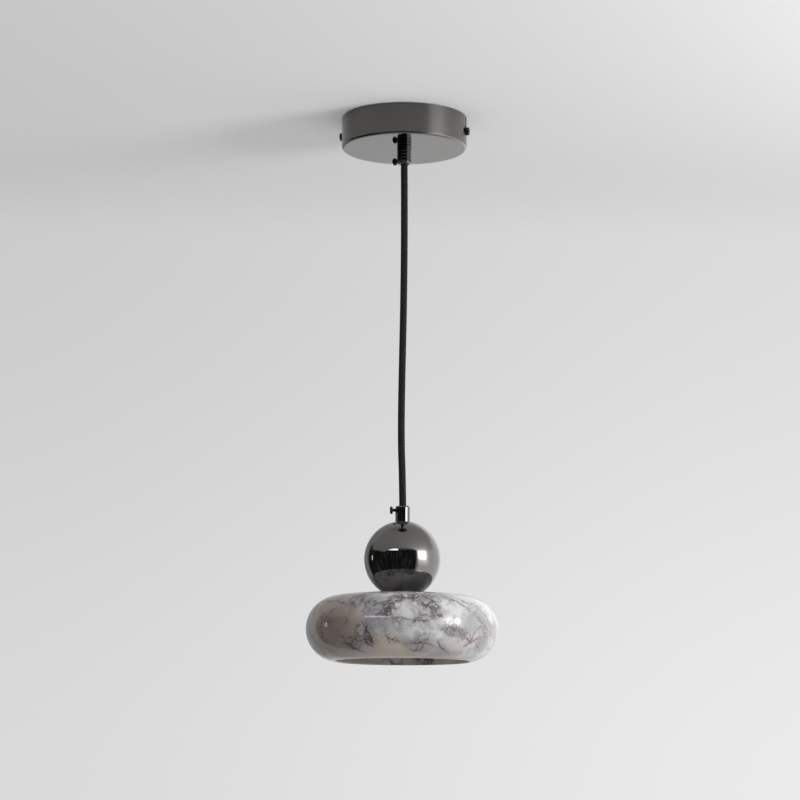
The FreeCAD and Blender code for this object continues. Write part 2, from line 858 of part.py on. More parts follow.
# Ball: a spun brass shell with a flat seat above for the grip and below for the stone.
ball_hollow = "(ball_diameter / 2 - ball_wall)"
hollow_top = f"({BALL_TOP} - ball_wall)"
hollow_base = f"({BALL_BASE} + ball_wall)"
ball_profile = [
    (f"{STEM_HOLE} / 2", BALL_BASE),
    ("ball_seat_diameter / 2", BALL_BASE, "ball_diameter / 2", "left"),
    ("grip_diameter / 2", BALL_TOP),
    (f"{STEM_HOLE} / 2", BALL_TOP),
    (f"{STEM_HOLE} / 2", hollow_top),
    (f"sqrt({ball_hollow}^2 - ({hollow_top} - {BALL_CENTRE})^2)", hollow_top, ball_hollow, "right"),
    (f"sqrt({ball_hollow}^2 - ({hollow_base} - {BALL_CENTRE})^2)", hollow_base),
    (f"{STEM_HOLE} / 2", hollow_base),
]
keep(turned("ball_shell", ball_profile), "ball")
keep(
    ring("felt", "felt_diameter", STEM_HOLE, "felt_thickness", ("0", "0", SHADE_TOP)),
    "felt_washer",
)

# Shade: a bowl turned from one piece of marble. Its section is half a circle outside and a
# concentric one inside, so the wall is even, and it turns in again at the lip.
ring_radius = "((shade_diameter - shade_height) / 2)"
outer_round = "(shade_height / 2)"
inner_round = "(shade_height / 2 - shade_wall)"
lip_inset = f"(shade_opening / 2 + shade_lip - {ring_radius})"
lip_middle = f"({SHADE_MIDDLE} - sqrt(({outer_round} - shade_lip)^2 - {lip_inset}^2))"
lip_touch = f"({outer_round} / ({outer_round} - shade_lip))"
bore_top = f"({SHADE_MIDDLE} - sqrt({inner_round}^2 - (shade_opening / 2 - {ring_radius})^2))"
shade_profile = [
    ("shade_hole / 2", SHADE_TOP),
    (ring_radius, SHADE_TOP, outer_round, "right"),
    (
        f"{ring_radius} + {lip_inset} * {lip_touch}",
        f"{SHADE_MIDDLE} + ({lip_middle} - {SHADE_MIDDLE}) * {lip_touch}",
        "shade_lip",
        "right",
    ),
    ("shade_opening / 2", lip_middle),
    ("shade_opening / 2", bore_top, inner_round, "left"),
    (ring_radius, SHADE_CEILING),
    ("shade_hole / 2", SHADE_CEILING),
]
keep(turned("shade", shade_profile), "marble_shade")
keep(
    ring("gasket", "gasket_diameter", "shade_hole", "gasket_thickness", ("0", "0", TRAY_TOP)),
    "shade_gasket",
)

# Light tray: a spun aluminium dish under the stone that cools the light board.
tray_profile = [
    (f"{STEM_HOLE} / 2", TRAY_TOP),
    (f"{STEM_HOLE} / 2", TRAY_PLATE_BASE),
    ("tray_diameter / 2 - tray_wall", TRAY_PLATE_BASE),
    ("tray_diameter / 2 - tray_wall", TRAY_RIM),
    ("tray_diameter / 2", TRAY_RIM),
    ("tray_diameter / 2", f"{TRAY_TOP} - tray_corner", "tray_corner", "left"),
    ("tray_diameter / 2 - tray_corner", TRAY_TOP),
]
tray_blank = turned("tray_blank", tray_profile)
screw_spots = []
for number in range(BOARD_SCREWS):
    angle = f"{number} * 360 / {BOARD_SCREWS} + 30"
    screw_spots.append((f"board_screw_circle / 2 * cos({angle})", f"board_screw_circle / 2 * sin({angle})"))
tray_threads = []
board_holes = [rod("board_middle", "board_hole", "board_thickness", ("0", "0", BOARD_BASE))]
board_screws = []
screw_way = "board_screw_diameter + 2 * seat_clearance"
for number, (across, along) in enumerate(screw_spots, start=1):
    tray_threads.append(
        rod(f"tray_thread_{number}", "board_screw_diameter", "tray_plate", (across, along, TRAY_PLATE_BASE))
    )
    board_holes.append(
        rod(f"board_hole_{number}", screw_way, "board_thickness", (across, along, BOARD_BASE))
    )
    foot = (across, along, f"{BOARD_BASE} - board_head_thickness")
    board_screws.append(
        joined(
            f"board_screw_{number}",
            [
                rod(f"board_head_{number}", "board_head_diameter", "board_head_thickness", foot),
                rod(
                    f"board_shank_{number}",
                    "board_screw_diameter",
                    "board_head_thickness + board_thickness + tray_plate",
                    foot,
                ),
            ],
        )
    )
keep(less("tray", tray_blank, tray_threads), "light_tray")
keep(
    ring(
        "stem_washer_ring",
        "stem_washer_diameter",
        STEM_HOLE,
        "stem_washer_thickness",
        ("0", "0", STEM_NUT_TOP),
    ),
    "stem_washer",
)
keep(
    hexagon_nut(
        "stem_nut_solid",
        "stem_nut_flats",
        "nipple_diameter",
        "stem_nut_height",
        ("0", "0", f"{STEM_NUT_TOP} - stem_nut_height"),
    ),
    "stem_nut",
)

# Light board: a ring with two circles of chips, screwed to the tray.
board_disc = rod("board_disc", "board_diameter", "board_thickness", ("0", "0", BOARD_BASE))
keep(less("board", board_disc, board_holes), "light_board")
keep(group("board_screw_set", board_screws), "board_screws")
chips = []
for circle, count in (("outer_chip_circle", OUTER_CHIPS), ("inner_chip_circle", INNER_CHIPS)):
    for number in range(count):
        angle = (number + 0.5) * 360 / count
        chip = block(
            f"{circle}_{number + 1}",
            "chip_size",
            "chip_size",
            "chip_height",
            (
                f"{circle} / 2 * cos({angle}) - chip_size / 2",
                f"{circle} / 2 * sin({angle}) - chip_size / 2",
                f"{BOARD_BASE} - chip_height",
            ),
        )
        chips.append(chip)
keep(group("chip_set", chips), "light_chips")

# Diffuser: an opal disc whose lip presses into the tray.
lip_outside = "(tray_diameter / 2 - tray_wall - seat_clearance)"
diffuser_profile = [
    ("0", f"{TRAY_RIM} - diffuser_thickness"),
    ("tray_diameter / 2 - diffuser_edge", f"{TRAY_RIM} - diffuser_thickness", "diffuser_edge", "left"),
    ("tray_diameter / 2", f"{TRAY_RIM} - diffuser_thickness + diffuser_edge"),
    ("tray_diameter / 2", TRAY_RIM),
    (lip_outside, TRAY_RIM),
    (lip_outside, f"{TRAY_RIM} + diffuser_lip_height"),
    (f"{lip_outside} - diffuser_lip_wall", f"{TRAY_RIM} + diffuser_lip_height"),
    (f"{lip_outside} - diffuser_lip_wall", TRAY_RIM),
    ("0", TRAY_RIM),
]
keep(turned("diffuser_disc", diffuser_profile), "diffuser")

# Leads: insulated wires between the terminals, the earth lug, the driver and the cord. Each one
# goes straight out of its start and straight into its hole, through points chosen by hand between.
pole_level = size(POLE_HEIGHT)
block_face = size("block_width / 2 - block_offset")
driver_face = size(DRIVER_FACE)
hole_level = size(f"{DRIVER_BASE} + driver_hole_height")
hole_depth = size("driver_hole_depth")
outer_hole = size("driver_length / 2 - driver_hole_inset")
inner_hole = outer_hole - size("driver_hole_pitch")
pitch = size("pole_pitch")
insertion = size("lead_insertion")
straight_run = size("lead_straight")
core = size("core_spacing / 2")
lug_mouth = (size("earth_offset"), size(barrel_end), size(barrel_level))


def lead(label, start, run, between, mouth, depth):
    """A lead from its start, after a straight run, into a hole whose mouth looks to the front."""
    first = tuple(place + step for place, step in zip(start, run))
    before = (mouth[0], mouth[1] - size("lead_diameter"), mouth[2])
    end = (mouth[0], mouth[1] + depth, mouth[2])
    return tube(label, [start, first, *between, before, end], "lead_diameter")


def pole_start(across):
    """The start of a lead in a pole of the terminal block."""
    return (across, block_face - insertion, pole_level)


out_of_pole = (0, insertion + straight_run, 0)
supply_leads = [
    lead(
        "supply_lead_1",
        pole_start(0),
        out_of_pole,
        [(10, -7, -12), (22, 5.5, -15.5)],
        (outer_hole, driver_face, hole_level),
        hole_depth,
    ),
    lead(
        "supply_lead_2",
        pole_start(-pitch),
        out_of_pole,
        [(1, -10.5, -13), (12, -3.5, -17)],
        (inner_hole, driver_face, hole_level),
        hole_depth,
    ),
]
keep(group("supply_lead_pair", supply_leads), "supply_leads")
earth_lead = lead("earth_wire", pole_start(pitch), out_of_pole, [(13, -11.5, -4.8)], lug_mouth, insertion)
keep(earth_lead, "earth_lead")
lamp_leads = [
    lead(
        f"lamp_lead_{number}",
        (run_end, side * core, turn_level),
        (-reach * straight_run, 0, 0),
        [(-hole, driver_face - 9, (turn_level + hole_level) / 2 - 1)],
        (-hole, driver_face, hole_level),
        hole_depth,
    )
    for number, side, reach, hole in ((1, -1, 2.4, outer_hole), (2, 1, 1.2, inner_hole))
]
keep(group("lamp_lead_pair", lamp_leads), "lamp_leads")
cord_foot = size(lamp_cord_foot)
below_stem = size(f"{STEM_BASE} - board_lead_drop")
pad_reach = size("pad_circle / 2")
board_leads = [
    tube(
        f"board_lead_{number}",
        [
            (side * core, 0, cord_foot),
            (side * core, 0, below_stem),
            (side * pad_reach, 0, below_stem),
            (side * pad_reach, 0, size(BOARD_BASE)),
        ],
        "lead_diameter",
    )
    for number, side in ((1, 1), (2, -1))
]
keep(group("board_lead_pair", board_leads), "board_leads")

doc.recompute()
for thing in doc.Objects:
    if "Invalid" in thing.State or "Error" in thing.State:
        raise RuntimeError(f"{thing.Label} failed: {thing.State}")
for piece in pieces:
    if piece.Shape.isNull() or not piece.Shape.isValid() or not piece.Shape.Solids:
        raise RuntimeError(f"{piece.Label} has no sound solid")

os.makedirs("parts", exist_ok=True)
for piece in pieces:
    piece.Shape.exportStep(f"parts/{piece.Label}.step")
print(f"{len(pieces)} pieces written")
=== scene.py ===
"""Looks of the marble bowl pendant, from its cord and canopy down to the light under the stone.

Lengths are in metres in the part's own frame: +Z is up, the ceiling lies at height 0 and X runs
through the canopy's side screws.
"""

import math

import bmesh
import bpy
import numpy as np
from mathutils import Matrix, Vector


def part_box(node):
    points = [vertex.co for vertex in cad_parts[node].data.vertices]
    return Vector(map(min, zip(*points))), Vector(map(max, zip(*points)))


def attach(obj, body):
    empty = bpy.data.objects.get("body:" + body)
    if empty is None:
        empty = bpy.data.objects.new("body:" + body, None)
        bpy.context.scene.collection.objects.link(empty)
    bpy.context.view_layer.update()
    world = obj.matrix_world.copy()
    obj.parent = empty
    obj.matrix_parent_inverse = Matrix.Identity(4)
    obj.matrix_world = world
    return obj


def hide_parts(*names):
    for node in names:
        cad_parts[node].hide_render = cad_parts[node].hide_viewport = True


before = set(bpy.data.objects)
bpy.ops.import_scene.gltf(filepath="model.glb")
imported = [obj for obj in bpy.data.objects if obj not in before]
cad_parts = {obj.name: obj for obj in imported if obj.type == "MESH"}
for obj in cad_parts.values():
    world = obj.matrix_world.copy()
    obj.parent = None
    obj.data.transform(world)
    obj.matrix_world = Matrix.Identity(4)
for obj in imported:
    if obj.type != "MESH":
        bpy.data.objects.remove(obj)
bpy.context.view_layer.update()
MM = 0.001

# Camera: where the photograph was taken from, below the lamp and a little to its right, looking
# up. The lamp hangs a touch right of the middle, and the picture leans by a quarter of a degree.
CAMERA_SIDE = math.radians(11)
CAMERA_DISTANCE = 1.9676
CAMERA_HEIGHT = -0.5394
CAMERA_RISE = 0.1569
CAMERA_AIM = math.radians(0.073)
CAMERA_LEAN = math.radians(0.264)
CAMERA_LENS = 113.74

heading = CAMERA_SIDE + CAMERA_AIM
forward = Vector((-math.sin(heading), math.cos(heading), math.tan(CAMERA_RISE))).normalized()
level_right = forward.cross(Vector((0, 0, 1))).normalized()
level_up = level_right.cross(forward)
right = level_right * math.cos(CAMERA_LEAN) + level_up * math.sin(CAMERA_LEAN)
up = level_up * math.cos(CAMERA_LEAN) - level_right * math.sin(CAMERA_LEAN)
camera = bpy.data.objects.new("camera", bpy.data.cameras.new("camera"))
bpy.context.scene.collection.objects.link(camera)
camera.data.lens = CAMERA_LENS
camera.matrix_world = Matrix.Translation(
    (CAMERA_DISTANCE * math.sin(CAMERA_SIDE), -CAMERA_DISTANCE * math.cos(CAMERA_SIDE), CAMERA_HEIGHT)
) @ Matrix((right, up, -forward)).transposed().to_4x4()
bpy.context.scene.camera = camera

# Cord: two cores in a braided black textile sleeve. It comes level out of the canopy's wiring,
# turns down through the upper grip, hangs to the lower grip and ends in the lamp's stem.
CORD_RADIUS = 2.75 * MM
UPPER_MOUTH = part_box("upper_cord_grip")[0].z
LOWER_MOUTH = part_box("lower_cord_grip")[1].z
CORD_LENGTH = UPPER_MOUTH - LOWER_MOUTH
CORD_STAGES = ((0.173, 0.45), (0.41, 0.1), (0.683, -1.35), (0.817, -1.45), (0.919, -0.35))
BRAID_STRANDS = 12
BRAID_PITCH = 1.44 * MM
BRAID_RELIEF = 0.1 * MM


def piece(name, points, faces, uv=None, crown=None, sharp=None):
    """An object with these points and faces. The uv holds a pair and the crown a number per point."""
    mesh = bpy.data.meshes.new(name)
    mesh.from_pydata(np.asarray(points).tolist(), [], faces)
    if uv is not None:
        corners = np.empty(len(mesh.loops), np.int32)
        mesh.loops.foreach_get("vertex_index", corners)
        mesh.uv_layers.new(name="along").data.foreach_set("uv", uv[corners].astype(np.float32).ravel())
    if crown is not None:
        mesh.attributes.new("crown", "FLOAT", "POINT").data.foreach_set("value", crown.astype(np.float32))
    mesh.shade_smooth()
    if sharp is not None:
        mesh.set_sharp_from_angle(angle=sharp)
    made = bpy.data.objects.new(name, mesh)
    bpy.context.scene.collection.objects.link(made)
    return made


def dress(made, body, material, replaced=()):
    """Finishes a piece: its body, its material and what it stands for."""
    made.data.materials.clear()
    made.data.materials.append(material)
    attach(made, body)
    if replaced:
        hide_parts(*replaced)
    return made


def nurbs_line(route, spacing):
    """Even points on the smooth NURBS line that has the route's points as its control points."""
    curve = bpy.data.curves.new("route", "CURVE")
    curve.dimensions = "3D"
    curve.resolution_u = 32
    spline = curve.splines.new("NURBS")
    spline.points.add(len(route) - 1)
    for point, place in zip(spline.points, route):
        point.co = (*place, 1)
    spline.order_u = 3
    spline.use_endpoint_u = True
    holder = bpy.data.objects.new("route", curve)
    mesh = bpy.data.meshes.new_from_object(holder)
    line = np.empty(len(mesh.vertices) * 3)
    mesh.vertices.foreach_get("co", line)
    line = line.reshape(-1, 3)
    distance = np.r_[0, np.cumsum(np.linalg.norm(np.diff(line, axis=0), axis=1))]
    places = np.linspace(0, distance[-1], max(4, round(distance[-1] / spacing)))
    return np.stack([np.interp(places, distance, line[:, axis]) for axis in range(3)], 1)


def tube(name, lines, radius, sides, across, relief=None):
    """Round tubes about lines of points.

    The skin at distance s and angle a is the line's point plus (radius + relief(s, a)) times
    (cos a, sin a) in the plane square to the line. Each end closes on one point.
    """
    ring = np.arange(sides)
    points, faces, uvs, crowns = [], [], [], []
    count = 0
    for line in lines:
        ahead = np.gradient(line, axis=0)
        ahead /= np.linalg.norm(ahead, axis=1)[:, None]
        first = np.array(across) - ahead * (ahead @ np.array(across))[:, None]
        first /= np.linalg.norm(first, axis=1)[:, None]
        second = np.cross(ahead, first)
        distance = np.r_[0, np.cumsum(np.linalg.norm(np.diff(line, axis=0), axis=1))]
        s, a = np.meshgrid(distance, ring * math.tau / sides, indexing="ij")
        height = relief(s, a) if relief else np.zeros(s.shape)
        spokes = first[:, None] * np.cos(a)[..., None] + second[:, None] * np.sin(a)[..., None]
        skin = line[:, None] + (radius + height)[..., None] * spokes
        rows = len(line)
        i, j = np.meshgrid(np.arange(rows - 1), ring, indexing="ij")
        here, there = i * sides + j, i * sides + (j + 1) % sides
        quads = np.stack([here, there, there + sides, here + sides], -1).reshape(-1, 4)
        start, end = rows * sides, rows * sides + 1
        fans = np.concatenate([
            np.stack([ring * 0 + start, (ring + 1) % sides, ring], 1),
            np.stack([ring * 0 + end, start - sides + ring, start - sides + (ring + 1) % sides], 1),
        ])
        faces += (quads + count).tolist() + (fans + count).tolist()
        points += [skin.reshape(-1, 3), line[[0]], line[[-1]]]
        uvs += [np.stack([s, a * radius], -1).reshape(-1, 2), np.zeros((2, 2))]
        rise = max(np.ptp(height), 1e-9)
        crowns += [((height - height.min()) / rise).ravel(), np.zeros(2)]
        count += rows * sides + 2
    return piece(name, np.concatenate(points), faces, np.concatenate(uvs), np.concatenate(crowns))


def braid(s, a):
    """Height of a braid: strands wind both ways, as rounded ridges |sin| of their phase, and each
    crossing shows the one or the other by turns, two over and two under."""
    one = BRAID_STRANDS * a / math.tau + s / BRAID_PITCH
    other = BRAID_STRANDS * a / math.tau - s / BRAID_PITCH
    over = np.floor((np.floor(one) + np.floor(other)) / 2) % 2 == 0
    ridge_one = np.abs(np.sin(math.pi * one)) ** 0.6
    ridge_other = np.abs(np.sin(math.pi * other)) ** 0.6
    return BRAID_RELIEF * (np.where(over, ridge_one, ridge_other) - 0.8)


def node(tree, kind, sockets=(), **settings):
    """Adds a shader node. Sockets are its inputs, each a value or another node's output."""
    made = tree.nodes.new(kind)
    for key, value in settings.items():
        setattr(made, key, value)
    for key, value in dict(sockets).items():
        if isinstance(value, bpy.types.NodeSocket):
            tree.links.new(value, made.inputs[key])
        else:
            made.inputs[key].default_value = value
    return made


def calc(tree, operation, *values, clamp=False):
    """The output of a Math node."""
    made = node(tree, "ShaderNodeMath", dict(enumerate(values)), operation=operation, use_clamp=clamp)
    return made.outputs[0]


def span(tree, value, low, high, start=0.0, end=1.0, smooth=True):
    """The value's way from low to high, as a number from start to end."""
    made = node(
        tree,
        "ShaderNodeMapRange",
        {"Value": value, "From Min": low, "From Max": high, "To Min": start, "To Max": end},
        interpolation_type="SMOOTHSTEP" if smooth else "LINEAR",
    )
    return made.outputs["Result"]


def blend(tree, share, one, other):
    """A colour between two: the first one at share 0 and the other at share 1."""
    one, other = ((*color, 1) if isinstance(color, tuple) else color for color in (one, other))
    made = node(tree, "ShaderNodeMix", {0: share, 6: one, 7: other}, data_type="RGBA")
    return made.outputs[2]


def noise(tree, place, scale, detail=2.0, roughness=0.5, output="Fac"):
    """A noise of so many lumps a metre."""
    made = node(
        tree,
        "ShaderNodeTexNoise",
        {"Vector": place, "Scale": scale, "Detail": detail, "Roughness": roughness},
    )
    return made.outputs[output]


def finish(name, roughness=0.5, metallic=0.0, **sockets):
    """A new material: its tree, the shader and the object's own coordinates."""
    material = bpy.data.materials.new(name)
    material.use_nodes = True
    tree = material.node_tree
    shader = tree.nodes["Principled BSDF"]
    shader.inputs["Roughness"].default_value = roughness
    shader.inputs["Metallic"].default_value = metallic
    for key, value in sockets.items():
        shader.inputs[key.replace("_", " ").title()].default_value = value
    place = node(tree, "ShaderNodeTexCoord").outputs["Object"]
    return material, tree, shader, place


def feed(tree, shader, color=None, roughness=None, height=None, strength=0.3, depth=0.0001):
    """Joins a colour, a roughness and a height to the shader."""
    if color is not None:
        tree.links.new(color, shader.inputs["Base Color"])
    if roughness is not None:
        tree.links.new(roughness, shader.inputs["Roughness"])
    if height is not None:
        bump = node(tree, "ShaderNodeBump", {"Height": height, "Strength": strength, "Distance": depth})
        tree.links.new(bump.outputs[0], shader.inputs["Normal"])


textile, tree, shader, place = finish("textile", 0.85, sheen_weight=0.06, sheen_roughness=0.5)
shader.inputs["Specular IOR Level"].default_value = 0.2
crown = node(tree, "ShaderNodeAttribute", attribute_name="crown").outputs["Fac"]
yarn = noise(tree, place, 5200, 1.0)
fleck = noise(tree, place, 900, 3.0, 0.7)
black = blend(tree, span(tree, fleck, 0.35, 0.7), (0.013, 0.013, 0.014), (0.034, 0.034, 0.035))
# Painted shade: the gaps between the braid's strands, low in its relief, are painted near black.
braid_painted_gap_shade = blend(tree, span(tree, crown, 0.05, 0.75), (0.004, 0.004, 0.004), black)
feed(tree, shader, braid_painted_gap_shade, span(tree, fleck, 0.3, 0.7, 0.75, 0.95), yarn, 0.35, 0.00012)

hanging_route = [(0, 0, UPPER_MOUTH)]
hanging_route += [(aside * MM, 0, UPPER_MOUTH - share * CORD_LENGTH) for share, aside in CORD_STAGES]
hanging_route.append((0, 0, LOWER_MOUTH))
hanging_line = nurbs_line(hanging_route, 0.26 * MM)
hanging_cord = tube("cord_hanging", [hanging_line], CORD_RADIUS, 64, (0, 1, 0), braid)
dress(hanging_cord, "cord", textile, ["pendant_cord"])


def upright_line(top, foot, spacing):
    """Even points straight down the cord's axis."""
    heights = np.linspace(top, foot, round((top - foot) / spacing))
    return np.stack([heights * 0, heights * 0, heights], 1)


def knuckle(name, height):
    """A ball of cord, radius R: rows of circles R sin t wide at R cos t above its middle."""
    t = np.linspace(0.02, math.pi - 0.02, 40)
    line = np.stack([t * 0, t * 0, height + CORD_RADIUS * np.cos(t)], 1)
    return tube(name, [line], 0.0, 64, (0, 1, 0), lambda s, a: (
        np.sqrt(np.maximum(CORD_RADIUS**2 - (s - CORD_RADIUS) ** 2, 1e-10)) + braid(s, a) * 0.5))


for label, body, height in (("upper", "upper_bend", UPPER_MOUTH), ("lower", "lower_bend", LOWER_MOUTH)):
    dress(knuckle(f"cord_{label}_knuckle", height), body, textile, [f"cord_{label}_bend"])

canopy_cord_low, canopy_cord_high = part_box("canopy_cord")
cord_level = canopy_cord_high.z - CORD_RADIUS
canopy_cord_line = nurbs_line(
    [(0, 0, canopy_cord_low.z), (0, 0, cord_level - 2.5 * MM), (0, 0, cord_level),
     (-4 * MM, 0, cord_level), (canopy_cord_low.x, 0, cord_level)],
    0.3 * MM,
)
inner_cord = tube("cord_in_canopy", [canopy_cord_line], CORD_RADIUS, 64, (0, 1, 0), braid)
dress(inner_cord, "canopy", textile, ["canopy_cord"])
clamped_line = upright_line(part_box("cord_in_upper_grip")[1].z, UPPER_MOUTH, 0.3 * MM)
clamped = tube("cord_clamped", [clamped_line], CORD_RADIUS, 64, (0, 1, 0), braid)
dress(clamped, "clamped_cord", textile, ["cord_in_upper_grip"])
lamp_line = upright_line(LOWER_MOUTH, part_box("lamp_cord")[0].z, 0.4 * MM)
lamp_cord = tube("cord_in_lamp", [lamp_line], CORD_RADIUS, 48, (0, 1, 0), braid)
dress(lamp_cord, "lamp", textile, ["lamp_cord"])

# Canopy: a spun steel cup plated in dark nickel. Its flat bottom is buffed to a mirror, and its
# side keeps the satin lines of the lathe. Hands leave faint smudges.
PLATING = (0.172, 0.166, 0.162)
BOTTOM_SHINE = 0.04
SIDE_SHINE = 0.3


def shader_group(name, inputs, outputs):
    """A shader node group with these inputs, each a name, a kind and a value, and outputs."""
    made = bpy.data.node_groups.new(name, "ShaderNodeTree")
    for label, kind, value in inputs:
        socket = made.interface.new_socket(label, in_out="INPUT", socket_type=f"NodeSocket{kind}")
        if value is not None:
            socket.default_value = value
    for label, kind in outputs:
        made.interface.new_socket(label, in_out="OUTPUT", socket_type=f"NodeSocket{kind}")
    return made, made.nodes.new("NodeGroupInput").outputs, made.nodes.new("NodeGroupOutput").inputs


# Handling marks: clouds of smudge and hair-fine scratches, for every polished metal
marks, marks_in, marks_out = shader_group(
    "handling_marks",
    [("Place", "Vector", None), ("Size", "Float", 60.0)],
    [("Smudge", "Float"), ("Scratch", "Float")],
)
cloud = noise(marks, marks_in["Place"], marks_in["Size"], 4.0, 0.6)
marks.links.new(span(marks, cloud, 0.42, 0.72), marks_out["Smudge"])
streaks = node(marks, "ShaderNodeMapping", {"Vector": marks_in["Place"], "Scale": (900, 900, 60)})
hairs = noise(marks, streaks.outputs[0], 1.0, 2.0, 0.6)
marks.links.new(span(marks, hairs, 0.68, 0.74), marks_out["Scratch"])


def plated(name, color, roughness, ring_pitch=None, smudge=0.05, size=60.0):
    """Polished dark plating. Lathe rings are a fine wave of the height and the radius added up."""
    material, tree, shader, place = finish(name, roughness, 1.0)
    used = node(tree, "ShaderNodeGroup", node_tree=marks)
    used.inputs["Size"].default_value = size
    tree.links.new(place, used.inputs["Place"])
    tint = noise(tree, place, 45, 3.0)
    dark = tuple(0.93 * part for part in color)
    shade = blend(tree, span(tree, tint, 0.3, 0.7), dark, color)
    rough = calc(tree, "MULTIPLY_ADD", used.outputs["Smudge"], smudge, roughness)
    height = used.outputs["Scratch"]
    if ring_pitch:
        apart = node(tree, "ShaderNodeSeparateXYZ", {0: place}).outputs
        flat = calc(tree, "SQRT", calc(tree, "ADD", calc(tree, "MULTIPLY", apart[0], apart[0]),
                                       calc(tree, "MULTIPLY", apart[1], apart[1])))
        reach = calc(tree, "ADD", flat, apart[2])
        rings = node(tree, "ShaderNodeTexNoise", {"W": calc(tree, "DIVIDE", reach, ring_pitch),
                                                  "Scale": 1.0, "Detail": 3.0}, noise_dimensions="1D")
        height = calc(tree, "MULTIPLY_ADD", height, 0.3, rings.outputs["Fac"])
    feed(tree, shader, shade, rough, height, 0.05, 0.00001)
    return material, tree, shader, place, rough


canopy_plating, tree, shader, place, rough = plated("canopy_plating", PLATING, 0.0, 0.0003, 0.03, 40.0)
cup_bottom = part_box("canopy_cup")[0].z
height = node(tree, "ShaderNodeSeparateXYZ", {0: place}).outputs[2]
shine = span(tree, height, cup_bottom + 0.3 * MM, cup_bottom + 2 * MM, BOTTOM_SHINE, SIDE_SHINE)
tree.links.new(calc(tree, "ADD", rough, shine), shader.inputs["Roughness"])
lathed = span(tree, height, cup_bottom + 1.2 * MM, cup_bottom + 2.5 * MM, 0.0, 0.95)
tree.links.new(lathed, shader.inputs["Anisotropic"])
around_axis = node(tree, "ShaderNodeTangent", direction_type="RADIAL", axis="Z").outputs[0]
tree.links.new(around_axis, shader.inputs["Tangent"])
shader.inputs["Anisotropic Rotation"].default_value = 0.25
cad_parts["canopy_cup"].data.materials[0] = canopy_plating

# Side screws: black oxide steel with a rounded head and a hexagon socket.
black_oxide, tree, shader, place = finish("black_oxide", 0.38, 0.6)
patches = noise(tree, place, 700, 3.0)
feed(
    tree,
    shader,
    blend(tree, span(tree, patches, 0.3, 0.7), (0.012, 0.012, 0.013), (0.035, 0.034, 0.034)),
    span(tree, patches, 0.3, 0.7, 0.3, 0.48),
    noise(tree, place, 2500, 2.0),
    0.2,
    0.00003,
)
for side in ("left", "right"):
    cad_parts[f"canopy_screw_{side}"].data.materials[0] = black_oxide

# Bracket: pressed steel strip, zinc plated. The plating shows a soft spangle and a bluish cast.
zinc, tree, shader, place = finish("zinc", 0.34, 1.0)
flakes = node(tree, "ShaderNodeTexVoronoi", {"Vector": place, "Scale": 260.0}).outputs["Color"]
flake = node(tree, "ShaderNodeSeparateXYZ", {0: flakes}).outputs[0]
grain = noise(tree, place, 1500, 3.0)
feed(
    tree,
    shader,
    blend(tree, calc(tree, "MULTIPLY_ADD", grain, 0.5, calc(tree, "MULTIPLY", flake, 0.5)),
          (0.47, 0.48, 0.49), (0.66, 0.665, 0.66)),
    span(tree, flake, 0.0, 1.0, 0.26, 0.42, smooth=False),
    grain,
    0.15,
    0.00004,
)
for name in ("mounting_bracket", "stem_washer", "upper_tooth_washer"):
    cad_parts[name].data.materials[0] = zinc

# Brass: machined rod and screws, a little dull. Fine turning marks cross the threads.
brass, tree, shader, place = finish("brass", 0.3, 1.0)
dulled = noise(tree, place, 300, 4.0, 0.6)
feed(
    tree,
    shader,
    blend(tree, span(tree, dulled, 0.35, 0.7), (0.62, 0.46, 0.2), (0.42, 0.3, 0.13)),
    span(tree, dulled, 0.35, 0.7, 0.24, 0.42),
    noise(tree, place, 4000, 1.0),
    0.2,
    0.00003,
)


def revolved(name, outlines, swell=None, steps=96, turn=Matrix.Identity(4), sharp=math.radians(35)):
    """Turned solids: each closed outline of (radius, height) carried round the Z axis.

    A point at angle a has radius r + swell(r, height, a), and then the piece is turned to its place.
    """
    points, faces = [], []
    count = 0
    for outline, at in outlines:
        outline = np.array(outline, float)
        a = np.arange(steps) * math.tau / steps
        radius = np.repeat(outline[:, :1], steps, 1)
        height = np.repeat(outline[:, 1:2], steps, 1)
        if swell:
            radius = radius + swell(radius, height, a[None])
        skin = np.stack([radius * np.cos(a) + at[0], radius * np.sin(a) + at[1], height + at[2]], -1)
        rows = len(outline)
        i, j = np.meshgrid(np.arange(rows), np.arange(steps), indexing="ij")
        k, n = (i + 1) % rows, (j + 1) % steps
        quads = np.stack([i * steps + j, i * steps + n, k * steps + n, k * steps + j], -1).reshape(-1, 4)
        faces += (quads + count).tolist()
        points.append(skin.reshape(-1, 3))
        count += rows * steps
    made = piece(name, np.concatenate(points), faces)
    work = bmesh.new()
    work.from_mesh(made.data)
    bmesh.ops.remove_doubles(work, verts=work.verts, dist=1e-7)
    bmesh.ops.dissolve_degenerate(work, edges=work.edges, dist=1e-8)
    bmesh.ops.recalc_face_normals(work, faces=work.faces)
    work.to_mesh(made.data)
    work.free()
    made.data.transform(turn)
    made.data.shade_smooth()
    made.data.set_sharp_from_angle(angle=sharp)
    return made


